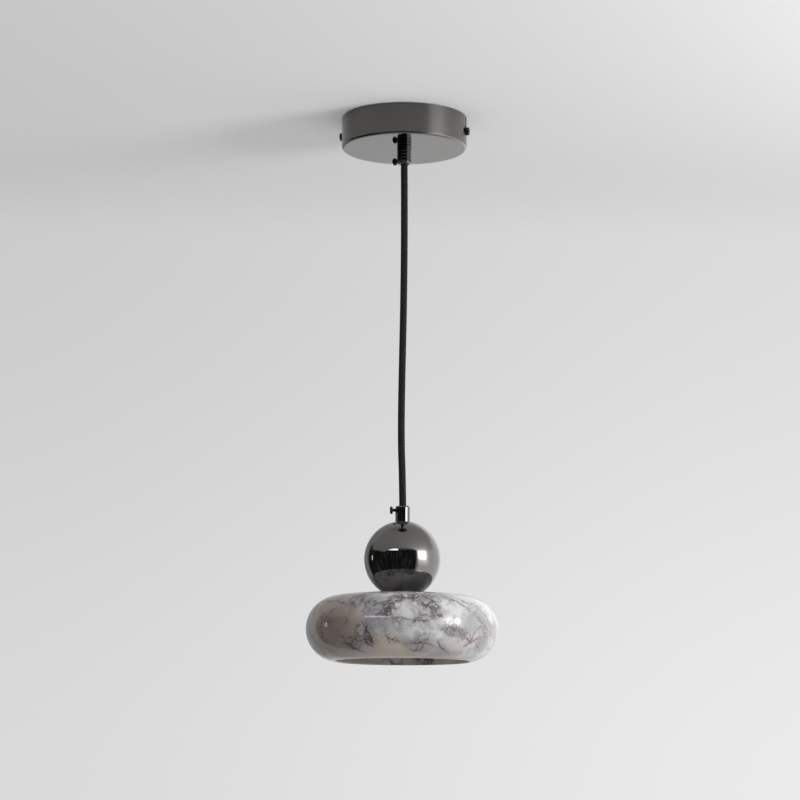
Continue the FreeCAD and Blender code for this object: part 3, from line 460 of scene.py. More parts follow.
def rounded(corners, steps=5):
    """The outline whose corners (radius, height, rounding) are arcs that touch both edges."""
    outline = []
    for before, here, after in zip(corners[-1:] + corners[:-1], corners, corners[1:] + corners[:1]):
        corner, rounding = np.array(here[:2], float), here[2] if len(here) > 2 else 0
        if not rounding:
            outline.append(corner)
            continue
        back = np.array(before[:2]) - corner
        ahead = np.array(after[:2]) - corner
        back /= np.linalg.norm(back)
        ahead /= np.linalg.norm(ahead)
        half = math.acos(np.clip(back @ ahead, -1, 1)) / 2
        reach = rounding / math.tan(half)
        middle = corner + (back + ahead) / np.linalg.norm(back + ahead) * rounding / math.sin(half)
        start, end = corner + back * reach - middle, corner + ahead * reach - middle
        share = np.linspace(0, 1, steps + 1)[:, None]
        arc = start * (1 - share) + end * share
        arc *= rounding / np.linalg.norm(arc, axis=1)[:, None]
        outline += list(middle + arc)
    return outline


def ridged(low, high, outer, inner, pitch, rounding=0.15 * MM):
    """The outline of a threaded ring: its outside is a wave of the thread's pitch."""
    heights = np.arange(low + pitch / 2, high - pitch / 2, pitch / 4)
    wave = outer - 0.12 * pitch * 2 * (1 - np.cos(math.tau * (heights - low) / pitch))
    outside = list(np.stack([wave, heights], 1))
    return [(inner, low), (outer - rounding, low), *outside, (outer - rounding, high), (inner, high)]


# Nipple, stem and their nuts: the upper ones clamp the canopy to its grip, the lower ones draw
# grip, ball, stone and light tray together.
THREAD_PITCH = 1.0 * MM
for node_name, label, body in (("upper_nipple", "nipple", "canopy"), ("stem_tube", "stem", "lamp")):
    low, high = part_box(node_name)
    outline = ridged(low.z, high.z, high.x, 3.1 * MM, THREAD_PITCH)
    made = revolved(label, [(outline, (0, 0, 0))], sharp=math.radians(60))
    dress(made, body, brass, [node_name])


def hexagon(flats):
    """Swell that turns a circle of radius r into a hexagon: at angle a its side lies at
    (flats / 2) / cos(a folded to the side's middle), and a cone trims the corners."""
    def swell(radius, height, a):
        fold = (a + math.pi / 6) % (math.pi / 3) - math.pi / 6
        side = flats / 2 / np.cos(fold)
        return np.where(radius > 0.45 * flats, np.minimum(side, radius) - radius, 0)
    return swell


NUT_BORE = 4 * MM
for node_name, body in (("upper_lock_nut", "canopy"), ("stem_nut", "lamp")):
    low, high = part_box(node_name)
    flats = 2 * high.y
    crest = flats / 2 / math.cos(math.pi / 6)
    cone = 0.5 * (crest - flats / 2)
    face = flats / 2 - 0.1 * MM
    outline = [(NUT_BORE, low.z), (face, low.z), (crest, low.z + cone),
               (crest, high.z - cone), (face, high.z), (NUT_BORE, high.z)]
    made = revolved(node_name + "_turned", [(outline, (0, 0, 0))], hexagon(flats), 96,
                    sharp=math.radians(20))
    dress(made, body, brass, [node_name])


def slotted(name, spots, head, depth, half_length, width, slot_depth):
    """Screw heads, face down, each a disc with a rounded rim and a straight slot in its face."""
    outline = rounded([(0, 0), (head, 0, 0.25 * MM), (head, depth), (0, depth)])
    made = revolved(name, [(outline, spot) for spot in spots], steps=64)
    box = [(i * half_length, j * width / 2, k)
           for i in (-1, 1) for j in (-1, 1) for k in (-MM, slot_depth)]
    faces = [(0, 1, 3, 2), (4, 6, 7, 5), (0, 4, 5, 1), (2, 3, 7, 6), (0, 2, 6, 4), (1, 5, 7, 3)]
    corners = (np.array(spots)[:, None] + np.array(box)).reshape(-1, 3)
    starts = np.arange(len(spots)) * len(box)
    sides = (starts[:, None, None] + np.array(faces)).reshape(-1, 4).tolist()
    cutter = piece("slot_cutter", corners, sides)
    cut = made.modifiers.new("slots", "BOOLEAN")
    cut.object = cutter
    cut.solver = "EXACT"
    bpy.context.view_layer.update()
    shaped = bpy.data.meshes.new_from_object(made.evaluated_get(bpy.context.evaluated_depsgraph_get()))
    made.modifiers.clear()
    made.data = shaped
    shaped.shade_smooth()
    shaped.set_sharp_from_angle(angle=math.radians(30))
    bpy.data.objects.remove(cutter)
    return made


# Terminals: a moulded three-pole block. Its slotted brass screws lie sunk in their wells, and one
# longer screw holds it to the wing.
moulded, moulded_in, moulded_out = shader_group(
    "moulded_grain",
    [("Place", "Vector", None), ("Grain", "Float", 2500.0)],
    [("Tone", "Float"), ("Height", "Float")],
)
moulded.links.new(noise(moulded, moulded_in["Place"], 120, 3.0), moulded_out["Tone"])
moulded.links.new(noise(moulded, moulded_in["Place"], moulded_in["Grain"], 2.0), moulded_out["Height"])


def plastic(name, color, roughness, grain=2500.0, strength=0.15, **sockets):
    """Moulded plastic: its tone drifts a little, and the mould leaves a fine grain."""
    material, tree, shader, place = finish(name, roughness, **sockets)
    used = node(tree, "ShaderNodeGroup", node_tree=moulded)
    used.inputs["Grain"].default_value = grain
    tree.links.new(place, used.inputs["Place"])
    tone = used.outputs["Tone"]
    darker = tuple(0.88 * part for part in color)
    feed(tree, shader, blend(tree, span(tree, tone, 0.3, 0.7), darker, color),
         span(tree, tone, 0.3, 0.7, roughness - 0.06, roughness + 0.06), used.outputs["Height"], strength)
    return material


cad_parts["terminal_block"].data.materials[0] = plastic("terminal_plastic", (0.8, 0.79, 0.73), 0.45)
block_low, block_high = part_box("terminal_block")
POLE_PITCH = 8 * MM
WELL_PITCH = 7 * MM
screws_low, screws_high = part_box("terminal_screws")
block_middle = (block_low.y + block_high.y) / 2
well_spots = [(pole * POLE_PITCH, block_middle + end * WELL_PITCH / 2, screws_low.z)
              for pole in (-1, 0, 1) for end in (-1, 1)]
made = slotted("terminal_screws_slotted", well_spots, 1.65 * MM, screws_high.z - screws_low.z,
               half_length=3 * MM, width=0.6 * MM, slot_depth=0.9 * MM)
dress(made, "canopy", brass, ["terminal_screws"])
for node_name, material, slot, head, length in (
    ("earth_screw", brass, "terminal_brass", 3.5 * MM, 2.4 * MM),
    ("terminal_fixing_screw", zinc, "zinc_steel", 2.7 * MM, 2 * MM),
):
    low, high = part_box(node_name)
    spot = ((low.x + high.x) / 2, (low.y + high.y) / 2, low.z)
    made = slotted(node_name + "_slotted", [spot], head, length, 6 * MM, 0.9 * MM, 1.1 * MM)
    shank = head * 0.57 if node_name == "earth_screw" else 1.5 * MM
    rod = ridged(length, high.z - low.z, shank, 0, 0.7 * MM)
    thread = revolved(node_name + "_thread", [(rod, spot)], steps=48, sharp=math.radians(60))
    dress(made, "canopy", material, [node_name])
    dress(thread, "canopy", material, [node_name])
tinned, tree, shader, place = finish("tinned_copper", 0.33, 1.0)
feed(tree, shader, blend(tree, noise(tree, place, 800, 3.0), (0.5, 0.48, 0.45), (0.72, 0.7, 0.66)),
     None, noise(tree, place, 1800, 2.0), 0.2, 0.00004)
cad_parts["earth_lug"].data.materials[0] = tinned

# Driver: a moulded white case with its lid, held by white foam tape.
driver_plastic = plastic("driver_plastic", (0.83, 0.83, 0.82), 0.5, 1600.0, 0.3)
for name in ("driver_case", "driver_lid"):
    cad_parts[name].data.materials[0] = driver_plastic
low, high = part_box("driver_tape")
TAPE_BULGE = 0.25 * MM


def cushioned(name, low, high, bulge, steps=24):
    """A flat pad whose sides swell: its outline at height share t stands out by bulge sin(pi t)."""
    t = np.linspace(0, 1, 9)
    corners = np.array([(0, 0), (1, 0), (1, 1), (0, 1)], float)
    way = np.linspace(0, 1, steps, endpoint=False)[:, None]
    ring = np.concatenate([here + (there - here) * way
                           for here, there in zip(corners, np.roll(corners, -1, 0))])
    size = np.array(high - low)
    middle = np.array((low + high) / 2)
    flat = (ring - 0.5) * (size[:2] - 2 * bulge)
    outward = (ring - 0.5) / np.abs(ring - 0.5).max(1)[:, None]
    rows = [np.c_[flat + outward * bulge * math.sin(math.pi * s), np.full(len(ring), (s - 0.5) * size[2])]
            for s in t]
    points = np.concatenate(rows) + middle
    n = len(ring)
    j = np.arange(n)
    faces = [tuple(face) for row in range(len(t) - 1)
             for face in np.stack([row * n + j, row * n + (j + 1) % n,
                                   (row + 1) * n + (j + 1) % n, (row + 1) * n + j], 1).tolist()]
    faces += [tuple(j[::-1].tolist()), tuple((j + (len(t) - 1) * n).tolist())]
    return piece(name, points, faces, sharp=math.radians(40))


foam, tree, shader, place = finish("foam", 0.9)
cells = node(tree, "ShaderNodeTexVoronoi", {"Vector": place, "Scale": 2600.0}).outputs["Distance"]
feed(tree, shader, blend(tree, span(tree, cells, 0.0, 0.7), (0.55, 0.55, 0.53), (0.82, 0.82, 0.8)),
     None, cells, 0.8, 0.0002)
dress(cushioned("foam_tape", low, high, TAPE_BULGE), "canopy", foam, ["driver_tape"])

# Leads: solid wires in glossy insulation, white inside the lamp's own wiring and green and yellow
# for the earth. They run from the terminals to the driver and from the driver to the cord's cores.
LEAD_RADIUS = 0.8 * MM
lead_white = plastic("lead_insulation", (0.72, 0.71, 0.67), 0.3, 1200.0, 0.08)
lead_earth, tree, shader, place = finish("earth_insulation", 0.3)
turns = node(tree, "ShaderNodeUVMap", uv_map="along").outputs[0]
around = node(tree, "ShaderNodeSeparateXYZ", {0: turns}).outputs[1]
stripe = calc(tree, "PINGPONG", calc(tree, "DIVIDE", around, LEAD_RADIUS * math.tau), 0.25)
feed(tree, shader, blend(tree, span(tree, stripe, 0.12, 0.14), (0.05, 0.26, 0.06), (0.75, 0.62, 0.05)),
     None, noise(tree, place, 900, 2.0), 0.08)


def routes(*lists):
    """Smooth lines through points given in millimetres."""
    return [nurbs_line([tuple(MM * part for part in point) for point in points], 0.35 * MM)
            for points in lists]


supply = routes(
    [(0, -18, -7), (0, -12.5, -7), (10, -7, -12), (22, 5.5, -15.5), (25, 12.1, -17), (25, 16.7, -17)],
    [(-8, -18, -7), (-8, -12.5, -7), (1, -10.5, -13), (12, -3.5, -17), (20, 12.1, -17), (20, 16.7, -17)],
)
dress(tube("leads_supply", supply, LEAD_RADIUS, 20, (0, 0, 1)), "canopy", lead_white,
      ["supply_leads"])
earth = routes([(8, -18, -7), (8, -12.5, -7), (13, -11.5, -4.8), (15, -10.1, -2.95), (15, -5.6, -2.95)])
dress(tube("lead_earth", earth, LEAD_RADIUS, 24, (0, 0, 1)), "canopy", lead_earth,
      ["earth_lead"])
to_cord = routes(
    [(-17.5, -1.3, -6.15), (-24, -1.3, -6.15), (-25, 4.75, -12.6), (-25, 12.1, -17), (-25, 16.7, -17)],
    [(-17.5, 1.3, -6.15), (-21, 1.3, -6.15), (-20, 4.75, -12.6), (-20, 12.1, -17), (-20, 16.7, -17)],
)
dress(tube("leads_to_cord", to_cord, LEAD_RADIUS, 20, (0, 0, 1)), "canopy", lead_white,
      ["lamp_leads"])
to_board = routes(
    [(1.3, 0, -400), (1.3, 0, -405), (3, 0, -406.25), (13, 0, -406.25), (15.5, 0, -405), (15.5, 0, -399.6)],
    [(-1.3, 0, -400), (-1.3, 0, -405), (-3, 0, -406.25), (-13, 0, -406.25), (-15.5, 0, -405),
     (-15.5, 0, -399.6)],
)
dress(tube("leads_to_board", to_board, LEAD_RADIUS, 16, (0, 1, 0)), "lamp", lead_white,
      ["board_leads"])
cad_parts["cord_stop"].data.materials[0] = plastic("nylon", (0.84, 0.84, 0.79), 0.4)

# Grips: small sleeves turned from brass, plated black nickel and polished. The upper one has
# three fine grooves; the lower one is plain.
GRIP_PLATING = (0.13, 0.128, 0.127)
grip_plating = plated("grip_plating", GRIP_PLATING, 0.08, None, 0.04, 200.0)
for name in ("upper_cord_grip", "lower_cord_grip"):
    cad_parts[name].data.materials[0] = grip_plating[0]

# Thumb screws: black steel with a small knurled head on a thin neck. They clamp the cord.
KNURLS = 22
KNURL_DEPTH = 0.12 * MM
GRIP_RADIUS = 5.75 * MM
THUMB_NECK = 2 * MM
THUMB_HEAD = 2.3 * MM
THUMB_RADIUS = 2.95 * MM


def knurl(radius, height, a):
    """The head's rim dips by half a cosine of the angle, KNURLS times round."""
    rim = (radius > THUMB_RADIUS - 0.3 * MM) & (height > GRIP_RADIUS + THUMB_NECK)
    return np.where(rim, -KNURL_DEPTH * (0.5 - 0.5 * np.cos(KNURLS * a)), 0)


for label, body, azimuth in (("upper", "thumb_screw_upper", 158), ("lower", "thumb_screw_lower", 191)):
    low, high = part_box(f"{label}_thumb_screw")
    shank, neck = 1.45 * MM, 1.2 * MM
    foot, face = GRIP_RADIUS + THUMB_NECK, GRIP_RADIUS + THUMB_NECK + THUMB_HEAD
    outline = rounded([(0, 2.8 * MM), (shank, 2.8 * MM, 0.2 * MM), (shank, GRIP_RADIUS),
                       (neck, GRIP_RADIUS + 0.1 * MM), (neck, foot, 0.3 * MM),
                       (THUMB_RADIUS, foot, 0.9 * MM), (THUMB_RADIUS, face, 1.1 * MM), (0, face)])
    turn = (Matrix.Translation((0, 0, (low.z + high.z) / 2))
            @ Matrix.Rotation(math.radians(azimuth), 4, "Z") @ Matrix.Rotation(math.pi / 2, 4, "Y"))
    made = revolved(f"thumb_screw_{label}_knurled", [(outline, (0, 0, 0))], knurl, 176, turn)
    dress(made, body, black_oxide, [f"{label}_thumb_screw"])

# Ball: spun brass, plated dark and polished to a mirror. A black felt ring keeps it off the stone.
ball_plating = plated("ball_plating", (0.178, 0.171, 0.166), 0.03, None, 0.015, 50.0)
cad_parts["ball"].data.materials[0] = ball_plating[0]
felt, tree, shader, place = finish("felt", 0.95, sheen_weight=0.3)
fibre = noise(tree, place, 3500, 4.0, 0.7)
feed(tree, shader, blend(tree, fibre, (0.012, 0.012, 0.012), (0.05, 0.05, 0.05)), None, fibre, 0.9, 0.0002)
low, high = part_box("felt_washer")
outline = rounded([(4.25 * MM, low.z), (high.x, low.z, 0.3 * MM), (high.x, high.z, 0.3 * MM),
                   (4.25 * MM, high.z)])
made = revolved("felt_ring", [(outline, (0, 0, 0))])
dress(made, "lamp", felt, ["felt_washer"])

# Shade: a bowl turned from one block of white marble, polished. Violet-grey veins with wine-red
# edges break it up, thickly on the side to the front and as fine threads elsewhere.
marble, tree, shader, place = finish("marble", 0.09)
# The cream is used only for painted bounce light and painted shade on the stone.
CLEAR, GREY, CREAM_PAINTED_LIGHT_AND_SHADE = (0.745, 0.74, 0.745), (0.42, 0.412, 0.432), (0.6, 0.5, 0.425)
VIOLET, VEIN, WINE = (0.3, 0.272, 0.295), (0.105, 0.092, 0.102), (0.22, 0.07, 0.065)
millimetres = node(tree, "ShaderNodeVectorMath", {0: place, "Scale": 1000.0}, operation="SCALE").outputs[0]
STONE_ROUND = 25.5
STONE_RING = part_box("marble_shade")[1].x / MM - STONE_ROUND
STONE_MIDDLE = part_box("marble_shade")[1].z / MM - STONE_ROUND
# Where the veins crowd together: the angle round the lamp and the angle up the round side in
# degrees, the patch's radius in mm and how dense it is, below zero where the stone stays clear
CROWDED = (
    (-108, 48, 8, 0.7), (-97, 33, 7, 0.8), (-88, 26, 9, 1), (-82, 46, 9, 0.8), (-70, 50, 8, 1),
    (-60, 40, 9, 1), (-58, 22, 7, 0.8), (-69, 8, 7, 0.7), (-80, 6, 6, 0.5), (-101, -24, 8, 0.8),
    (-110, -36, 6, 0.6), (-68, -35, 8, 0.7), (-84, -30, 6, 0.5), (-50, -4, 7, 0.9),
    (-43, -12, 6, 0.6), (-139, -15, 9, 0.45), (-128, 4, 7, 0.5), (-134, -38, 8, 0.4),
    (110, -90, 7, 0.6), (-30, 40, 8, 0.35), (-24, -18, 9, 0.4), (-75, 26, 7, -1), (-51, 38, 7, -1),
    (-77, -13, 8, -1), (-93, 62, 7, -1), (-115, -8, 9, -1),
    # The last three patches, on the stone's top under the ball, are partly veins and partly painted shade
    # under the ball.
    (-62, 92, 11, 0.9), (-112, 96, 11, 0.8), (-88, 84, 8, 0.7),
)
# Long veins, each from one spot to another by the same two angles, with a width in mm and its
# share of red
LONG_VEINS = (
    (-149, 46, -108, 29, 0.8, 0.1), (-125, 31, -130, 4, 0.6, 0.5), (-134, 12, -136, -36, 0.8, 0.5),
    (-111, 28, -114, -4, 0.45, 0.1), (-117, -34, -106, -56, 0.7, 0.4), (-62, 28, -50, -10, 0.9, 0.1),
    (-50, -4, -31, -30, 0.7, 0.2), (-47, 50, -25, 2, 0.45, 0.5), (-25, 4, -36, -42, 0.5, 0.6),
    (-24, 34, -12, -26, 0.4, 0.4), (-57, -30, -44, -58, 0.6, 0.1), (-88, -27, -60, -38, 0.6, 0.6),
    (-82, 9, -64, 4, 0.5, 0.7), (-152, 0, -140, -50, 0.7, 0.2), (-40, 52, -20, 20, 0.4, 0.3),
    (-34, 30, -18, -10, 0.35, 0.6), (-36, -16, -18, -46, 0.4, 0.7), (-120, -18, -98, -30, 0.5, 0.4),
    (60, 30, 120, -10, 0.8, 0.4), (140, 50, 190, 0, 0.8, 0.3), (20, -30, 60, 40, 0.7, 0.5),
)


def shaken(tree, place, scale, reach):
    """The place, pushed about by a noise of that scale by up to half the reach."""
    push = noise(tree, place, scale, 3.0, 0.55, "Color")
    centred = node(tree, "ShaderNodeVectorMath", {0: push, 1: (0.5, 0.5, 0.5)}, operation="SUBTRACT")
    far = node(tree, "ShaderNodeVectorMath", {0: centred.outputs[0], "Scale": reach}, operation="SCALE")
    moved = node(tree, "ShaderNodeVectorMath", {0: place, 1: far.outputs[0]}, operation="ADD")
    return moved.outputs[0]


def stone_spot(azimuth, profile):
    """The place in mm on the round side, at an angle round the lamp and an angle up the side."""
    turn, lift = math.radians(azimuth), math.radians(profile)
    radius = STONE_RING + STONE_ROUND * math.cos(lift)
    return Vector((radius * math.cos(turn), radius * math.sin(turn),
                   STONE_MIDDLE + STONE_ROUND * math.sin(lift)))


def distance_to(tree, place, spot):
    """How far a place lies from a fixed spot."""
    return node(tree, "ShaderNodeVectorMath", {0: place, 1: spot}, operation="DISTANCE").outputs["Value"]


wandering = shaken(tree, shaken(tree, millimetres, 0.05, 16.0), 0.22, 4.5)
cloud = noise(tree, wandering, 0.05, 4.0, 0.6)
ground = blend(tree, span(tree, cloud, 0.41, 0.64), CLEAR, GREY)
# Painted light and shade: towards the bottom the stone gets random beige patches and a warm patch on the low
# front, as painted bounce light from below. Its left end, away from the window, gets painted shade in cream,
# dark brown (shadowy) and grey.
beige = span(tree, noise(tree, millimetres, 0.03, 2.0), 0.35, 0.6)
low_down = span(tree, node(tree, "ShaderNodeSeparateXYZ", {0: millimetres}).outputs[2], -412.0, -430.0)
left_painted_shade = span(tree, distance_to(tree, millimetres, stone_spot(-128, -12)), 44.0, 16.0)
low_front_painted_bounce = span(tree, distance_to(tree, wandering, stone_spot(-86, -68)), 28.0, 8.0, 0.0, 0.9)
painted_bounce_and_shade = calc(tree, "MAXIMUM", calc(tree, "MULTIPLY", low_down, beige), calc(tree, "MULTIPLY", left_painted_shade, 0.95))
ground = blend(tree, painted_bounce_and_shade, ground, CREAM_PAINTED_LIGHT_AND_SHADE)
ground = blend(tree, low_front_painted_bounce, ground, (0.76, 0.65, 0.55))
shadowy = span(tree, distance_to(tree, wandering, stone_spot(-126, -4)), 42.0, 4.0, 0.0, 0.8)
ground = blend(tree, shadowy, ground, (0.25, 0.205, 0.18))
left_end_painted_shade = span(tree, distance_to(tree, wandering, stone_spot(-160, -10)), 36.0, 6.0, 0.0, 0.7)
ground = blend(tree, left_end_painted_shade, ground, (0.27, 0.27, 0.255))

front = span(tree, distance_to(tree, millimetres, stone_spot(-79, 0)), 86.0, 72.0)
crowd = span(tree, noise(tree, wandering, 0.028, 3.0, 0.6), 0.5, 0.64)
crowd = calc(tree, "MULTIPLY", crowd, calc(tree, "SUBTRACT", 1.0, front))
for azimuth, profile, radius, dense in CROWDED:
    away = distance_to(tree, wandering, stone_spot(azimuth, profile))
    near = span(tree, away, radius + 4.5, radius - 4.5, 0.0, abs(dense))
    if dense > 0:
        crowd = calc(tree, "MAXIMUM", crowd, near)
    else:
        crowd = calc(tree, "MULTIPLY", crowd, calc(tree, "SUBTRACT", 1.0, near))

# Broken ground: the stone between the crowded veins turns violet-grey, with dark and pale grains
patchy = span(tree, noise(tree, wandering, 0.16, 4.0, 0.65), 0.38, 0.6)
ground = blend(tree, calc(tree, "MULTIPLY", crowd, calc(tree, "MULTIPLY", patchy, 0.85)), ground, VIOLET)
grains = noise(tree, millimetres, 1.15, 2.0, 0.75)
speckled = calc(tree, "MULTIPLY", crowd, span(tree, noise(tree, wandering, 0.1, 2.0), 0.42, 0.56))
ground = blend(tree, calc(tree, "MULTIPLY", speckled, span(tree, grains, 0.52, 0.6)), ground, VEIN)
ground = blend(tree, calc(tree, "MULTIPLY", speckled, span(tree, grains, 0.4, 0.34)), ground, CLEAR)

# Fractures between the blocks of stone: wide and dark in the crowded patches, hairlines elsewhere
red_part = span(tree, noise(tree, wandering, 0.13, 3.0), 0.46, 0.58)
unbroken = span(tree, noise(tree, wandering, 0.06, 3.0), 0.48, 0.6)
uneven = span(tree, noise(tree, wandering, 0.3, 2.0), 0.34, 0.66, 0.15, 1.4, smooth=False)
for cell, hairline, widest, seldom in ((17.0, 0.3, 2.0, 0.6), (7.0, 0.12, 0.9, 0.25)):
    edge = node(tree, "ShaderNodeTexVoronoi", {"Vector": wandering, "Scale": 1 / cell},
                feature="DISTANCE_TO_EDGE").outputs["Distance"]
    width = span(tree, crowd, 0.0, 1.0, hairline, widest, smooth=False)
    width = calc(tree, "MULTIPLY", width, uneven)
    ratio = calc(tree, "DIVIDE", calc(tree, "MULTIPLY", edge, cell), width)
    there = calc(tree, "MAXIMUM", crowd, calc(tree, "MULTIPLY", unbroken, seldom))
    line = calc(tree, "MULTIPLY", span(tree, ratio, 1.4, 0.15), there)
    rim = calc(tree, "MULTIPLY", span(tree, ratio, 0.35, 0.75), red_part)
    ground = blend(tree, line, ground, blend(tree, rim, VEIN, WINE))

# Long veins: each is a plane through two spots and the middle of the ring's section, shown near them
winding = shaken(tree, shaken(tree, millimetres, 0.07, 11.0), 0.32, 3.2)
ragged = span(tree, noise(tree, winding, 0.25, 3.0), 0.36, 0.66, 0.08, 1.4, smooth=False)
for one_azimuth, one_profile, other_azimuth, other_profile, width, red in LONG_VEINS:
    one, other = stone_spot(one_azimuth, one_profile), stone_spot(other_azimuth, other_profile)
    middle = (one + other) / 2
    ring_point = Vector((middle.x, middle.y, 0)).normalized() * STONE_RING
    ring_point.z = STONE_MIDDLE
    across = (other - one).cross(middle - ring_point).normalized()
    dot = node(tree, "ShaderNodeVectorMath", {0: winding, 1: across}, operation="DOT_PRODUCT").outputs["Value"]
    off = calc(tree, "ABSOLUTE", calc(tree, "SUBTRACT", dot, across.dot(middle)))
    reach = (other - one).length / 2
    share = span(tree, distance_to(tree, millimetres, middle), reach + 3.0, reach - 3.0)
    halo = calc(tree, "MULTIPLY", span(tree, off, 4.5 * width, 0.0, 0.0, 0.4), share)
    ground = blend(tree, halo, ground, VIOLET)
    line = span(tree, calc(tree, "DIVIDE", off, calc(tree, "MULTIPLY", ragged, width)), 1.4, 0.15)
    tint = tuple((1 - red) * dark + red * wine for dark, wine in zip(VEIN, WINE))
    ground = blend(tree, calc(tree, "MULTIPLY", line, share), ground, tint)
feed(tree, shader, ground, span(tree, cloud, 0.3, 0.7, 0.07, 0.12))
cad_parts["marble_shade"].data.materials[0] = marble

# Light module: a spun aluminium tray with its gasket, board, chips, screws and opal diffuser.
aluminium = plated("aluminium", (0.72, 0.72, 0.72), 0.32, 0.0003, 0.08, 60.0)
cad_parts["light_tray"].data.materials[0] = aluminium[0]
silicone = plastic("silicone", (0.5, 0.5, 0.49), 0.6, 900.0)
low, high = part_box("shade_gasket")
outline = rounded([(5 * MM, low.z), (high.x, low.z, 0.4 * MM), (high.x, high.z, 0.4 * MM), (5 * MM, high.z)])
dress(revolved("gasket_ring", [(outline, (0, 0, 0))], steps=160), "lamp", silicone,
      ["shade_gasket"])
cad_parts["light_board"].data.materials[0] = plastic("board_mask", (0.88, 0.88, 0.86), 0.35, 3000.0)
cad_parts["light_chips"].data.materials[0] = plastic("phosphor", (0.85, 0.66, 0.16), 0.3, 5000.0)
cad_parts["board_screws"].data.materials[0] = zinc
opal = plastic("opal", (0.86, 0.86, 0.84), 0.42, 1800.0, 0.06, subsurface_weight=0.3,
               subsurface_radius=(1, 1, 1), subsurface_scale=1.5 * MM)
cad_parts["diffuser"].data.materials[0] = opal

# Studio: a pale ceiling and floor, and a soft window to the camera's right, a little below the
# ceiling. The room behind the camera is dark, which only the polished pieces show.
LAMP_MIDDLE = Vector((0, 0, -0.354))
WINDOW_AZIMUTH = 60


def window(name, azimuth, elevation, distance, width, height, watts):
    """A soft rectangular light that looks at the lamp. Azimuth 0 is the camera's side, and positive
    ones lie to its right."""
    light = bpy.data.lights.new(name, "AREA")
    light.shape = "RECTANGLE"
    light.size, light.size_y, light.energy = width, height, watts
    made = bpy.data.objects.new(name, light)
    bpy.context.scene.collection.objects.link(made)
    turn, rise = CAMERA_SIDE + math.radians(azimuth) - math.pi / 2, math.radians(elevation)
    aside = Vector((math.cos(rise) * math.cos(turn), math.cos(rise) * math.sin(turn), math.sin(rise)))
    made.location = LAMP_MIDDLE + distance * aside
    made.rotation_euler = aside.to_track_quat("Z", "Y").to_euler()
    made.visible_glossy = False


window("main_window", WINDOW_AZIMUTH, 7, distance=1.3, width=0.5, height=0.3, watts=10.5)
window("far_window", 118, 6, distance=2.2, width=1.2, height=1.4, watts=6)


def one_sided(name, color, glow, left, near, right, far, height, edge, far_edge, facing):
    """A level sheet square to the camera, see-through from behind, that fades out at its edges."""
    across, deep = np.meshgrid([left, right], [near, far])
    flat = np.stack([across.ravel(), deep.ravel()], 1)
    turned = flat @ np.array([[math.cos(CAMERA_SIDE), math.sin(CAMERA_SIDE)],
                              [-math.sin(CAMERA_SIDE), math.cos(CAMERA_SIDE)]])
    face = (0, 1, 3, 2) if facing > 0 else (2, 3, 1, 0)
    made = piece(name, np.c_[turned, np.full(4, height)], [face], flat)
    material = bpy.data.materials.new(name)
    material.use_nodes = True
    tree = material.node_tree
    tree.nodes.clear()
    flat_place = node(tree, "ShaderNodeUVMap", uv_map="along").outputs[0]
    apart = node(tree, "ShaderNodeSeparateXYZ", {0: flat_place}).outputs
    share = calc(tree, "SUBTRACT", 1.0, node(tree, "ShaderNodeNewGeometry").outputs["Backfacing"])
    for axis, start, end in ((0, left, left + edge), (0, right, right - edge), (1, near, near + edge),
                             (1, far, far - far_edge)):
        share = calc(tree, "MULTIPLY", share, span(tree, apart[axis], start, end))
    plaster = noise(tree, flat_place, 260.0, 5.0, 0.65)
    bump = node(tree, "ShaderNodeBump", {"Height": plaster, "Strength": 0.12, "Distance": 0.0008})
    plain = node(tree, "ShaderNodeBsdfDiffuse", {"Color": (*color, 1), "Normal": bump.outputs[0]}).outputs[0]
    shine = node(tree, "ShaderNodeEmission", {"Color": (*color, 1), "Strength": glow}).outputs[0]
    both = node(tree, "ShaderNodeAddShader", {0: plain, 1: shine}).outputs[0]
    clear = node(tree, "ShaderNodeBsdfTransparent").outputs[0]
    mixed = node(tree, "ShaderNodeMixShader", {0: share, 1: clear, 2: both}).outputs[0]
    node(tree, "ShaderNodeOutputMaterial", {"Surface": mixed})
    made.data.materials.append(material)
    made.visible_shadow = made.visible_diffuse = False
    return made


one_sided("ceiling", (1.68, 1.68, 1.68), glow=0.0, left=-1.1, near=-0.72, right=1.1, far=0.46,
          height=0.0004, edge=0.14, far_edge=0.36, facing=-1)
floor = one_sided("floor", (0.8, 0.79, 0.775), glow=0.4, left=-9, near=-9, right=9, far=9,
                  height=-1.5, edge=3.0, far_edge=3.0, facing=1)
floor.visible_glossy = False

world = bpy.data.worlds.new("studio")
bpy.context.scene.world = world
world.use_nodes = True
tree = world.node_tree
tree.nodes.clear()
FILL_BELOW, FILL_ABOVE = 0.27, 0.5
direction = node(tree, "ShaderNodeTexCoord").outputs["Generated"]
parts = node(tree, "ShaderNodeSeparateXYZ", {0: direction}).outputs
bearing = calc(tree, "ADD", calc(tree, "ARCTAN2", parts[1], parts[0]), math.pi / 2 - CAMERA_SIDE)
bearing = calc(tree, "MULTIPLY", calc(tree, "WRAP", bearing, math.pi, -math.pi), math.degrees(1))
height = calc(tree, "MULTIPLY", calc(tree, "ARCSINE", parts[2]), math.degrees(1))


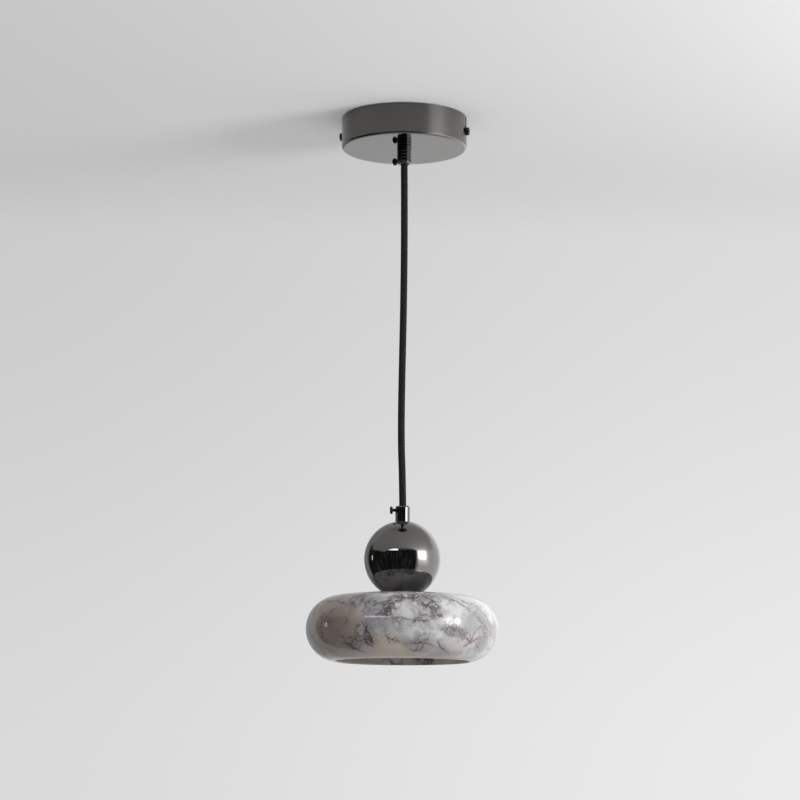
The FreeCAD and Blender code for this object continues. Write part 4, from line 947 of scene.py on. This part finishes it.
def patch(color, strength, azimuth, half_width, elevation, half_height, soft):
    """The room's colour with a soft-edged bright or dark field laid over it, in degrees."""
    turned = calc(tree, "WRAP", calc(tree, "SUBTRACT", bearing, azimuth), 180.0, -180.0)
    aside = calc(tree, "ABSOLUTE", turned)
    aloft = calc(tree, "ABSOLUTE", calc(tree, "SUBTRACT", height, elevation))
    share = calc(tree, "MULTIPLY", span(tree, aside, half_width + soft / 2, half_width - soft / 2),
                 span(tree, aloft, half_height + soft / 2, half_height - soft / 2))
    field = strength if isinstance(strength, bpy.types.NodeSocket) else (strength,) * 3
    return blend(tree, share, color, field)


pale = blend(tree, span(tree, parts[2], 0.0, 0.24), (0.77, 0.77, 0.77), (0.66, 0.66, 0.66))
sideways = node(tree, "ShaderNodeVectorMath",
                {0: direction, 1: (math.cos(CAMERA_SIDE), math.sin(CAMERA_SIDE), 0)},
                operation="DOT_PRODUCT").outputs["Value"]
# Painted light: the room's background is brighter towards the window's side.
lit = span(tree, sideways, -0.2, 0.2, 0.9, 1.08)
pale = node(tree, "ShaderNodeVectorMath", {0: pale, "Scale": lit}, operation="SCALE").outputs[0]
room = patch(pale, 0.38, -151, 19, 0, 40, 16)
room = patch(room, 1.45, 108, 58, 0, 38, 18)
bars = node(tree, "ShaderNodeCombineXYZ", {0: calc(tree, "MULTIPLY", bearing, 0.14),
                                           1: calc(tree, "MULTIPLY", height, 0.03)}).outputs[0]
dim = span(tree, noise(tree, bars, 1.0, 3.0, 0.65), 0.45, 0.75, 0.025, 0.12)
room = patch(room, dim, -40, 86, -18, 45, 13)
room = patch(room, 7.0, -32, 18, 24, 2.2, 2.0)
room = patch(room, 3.2, -103, 2, 4, 4, 2)
room = patch(room, 3.2, WINDOW_AZIMUTH + 6, 16, 7, 18, 22)
room = patch(room, 14.0, WINDOW_AZIMUTH + 2, 12, 11, 11, 13)
rays = node(tree, "ShaderNodeLightPath").outputs
straight = calc(tree, "ADD", rays["Is Camera Ray"], rays["Is Transmission Ray"], clamp=True)
fill = span(tree, parts[2], -0.3, 0.7, FILL_BELOW, FILL_ABOVE)
color = blend(tree, straight, blend(tree, rays["Is Glossy Ray"], fill, room), pale)
shine = node(tree, "ShaderNodeBackground", {"Color": color}).outputs[0]
node(tree, "ShaderNodeOutputWorld", {"Surface": shine})

bpy.context.scene.view_settings.view_transform = "Standard"
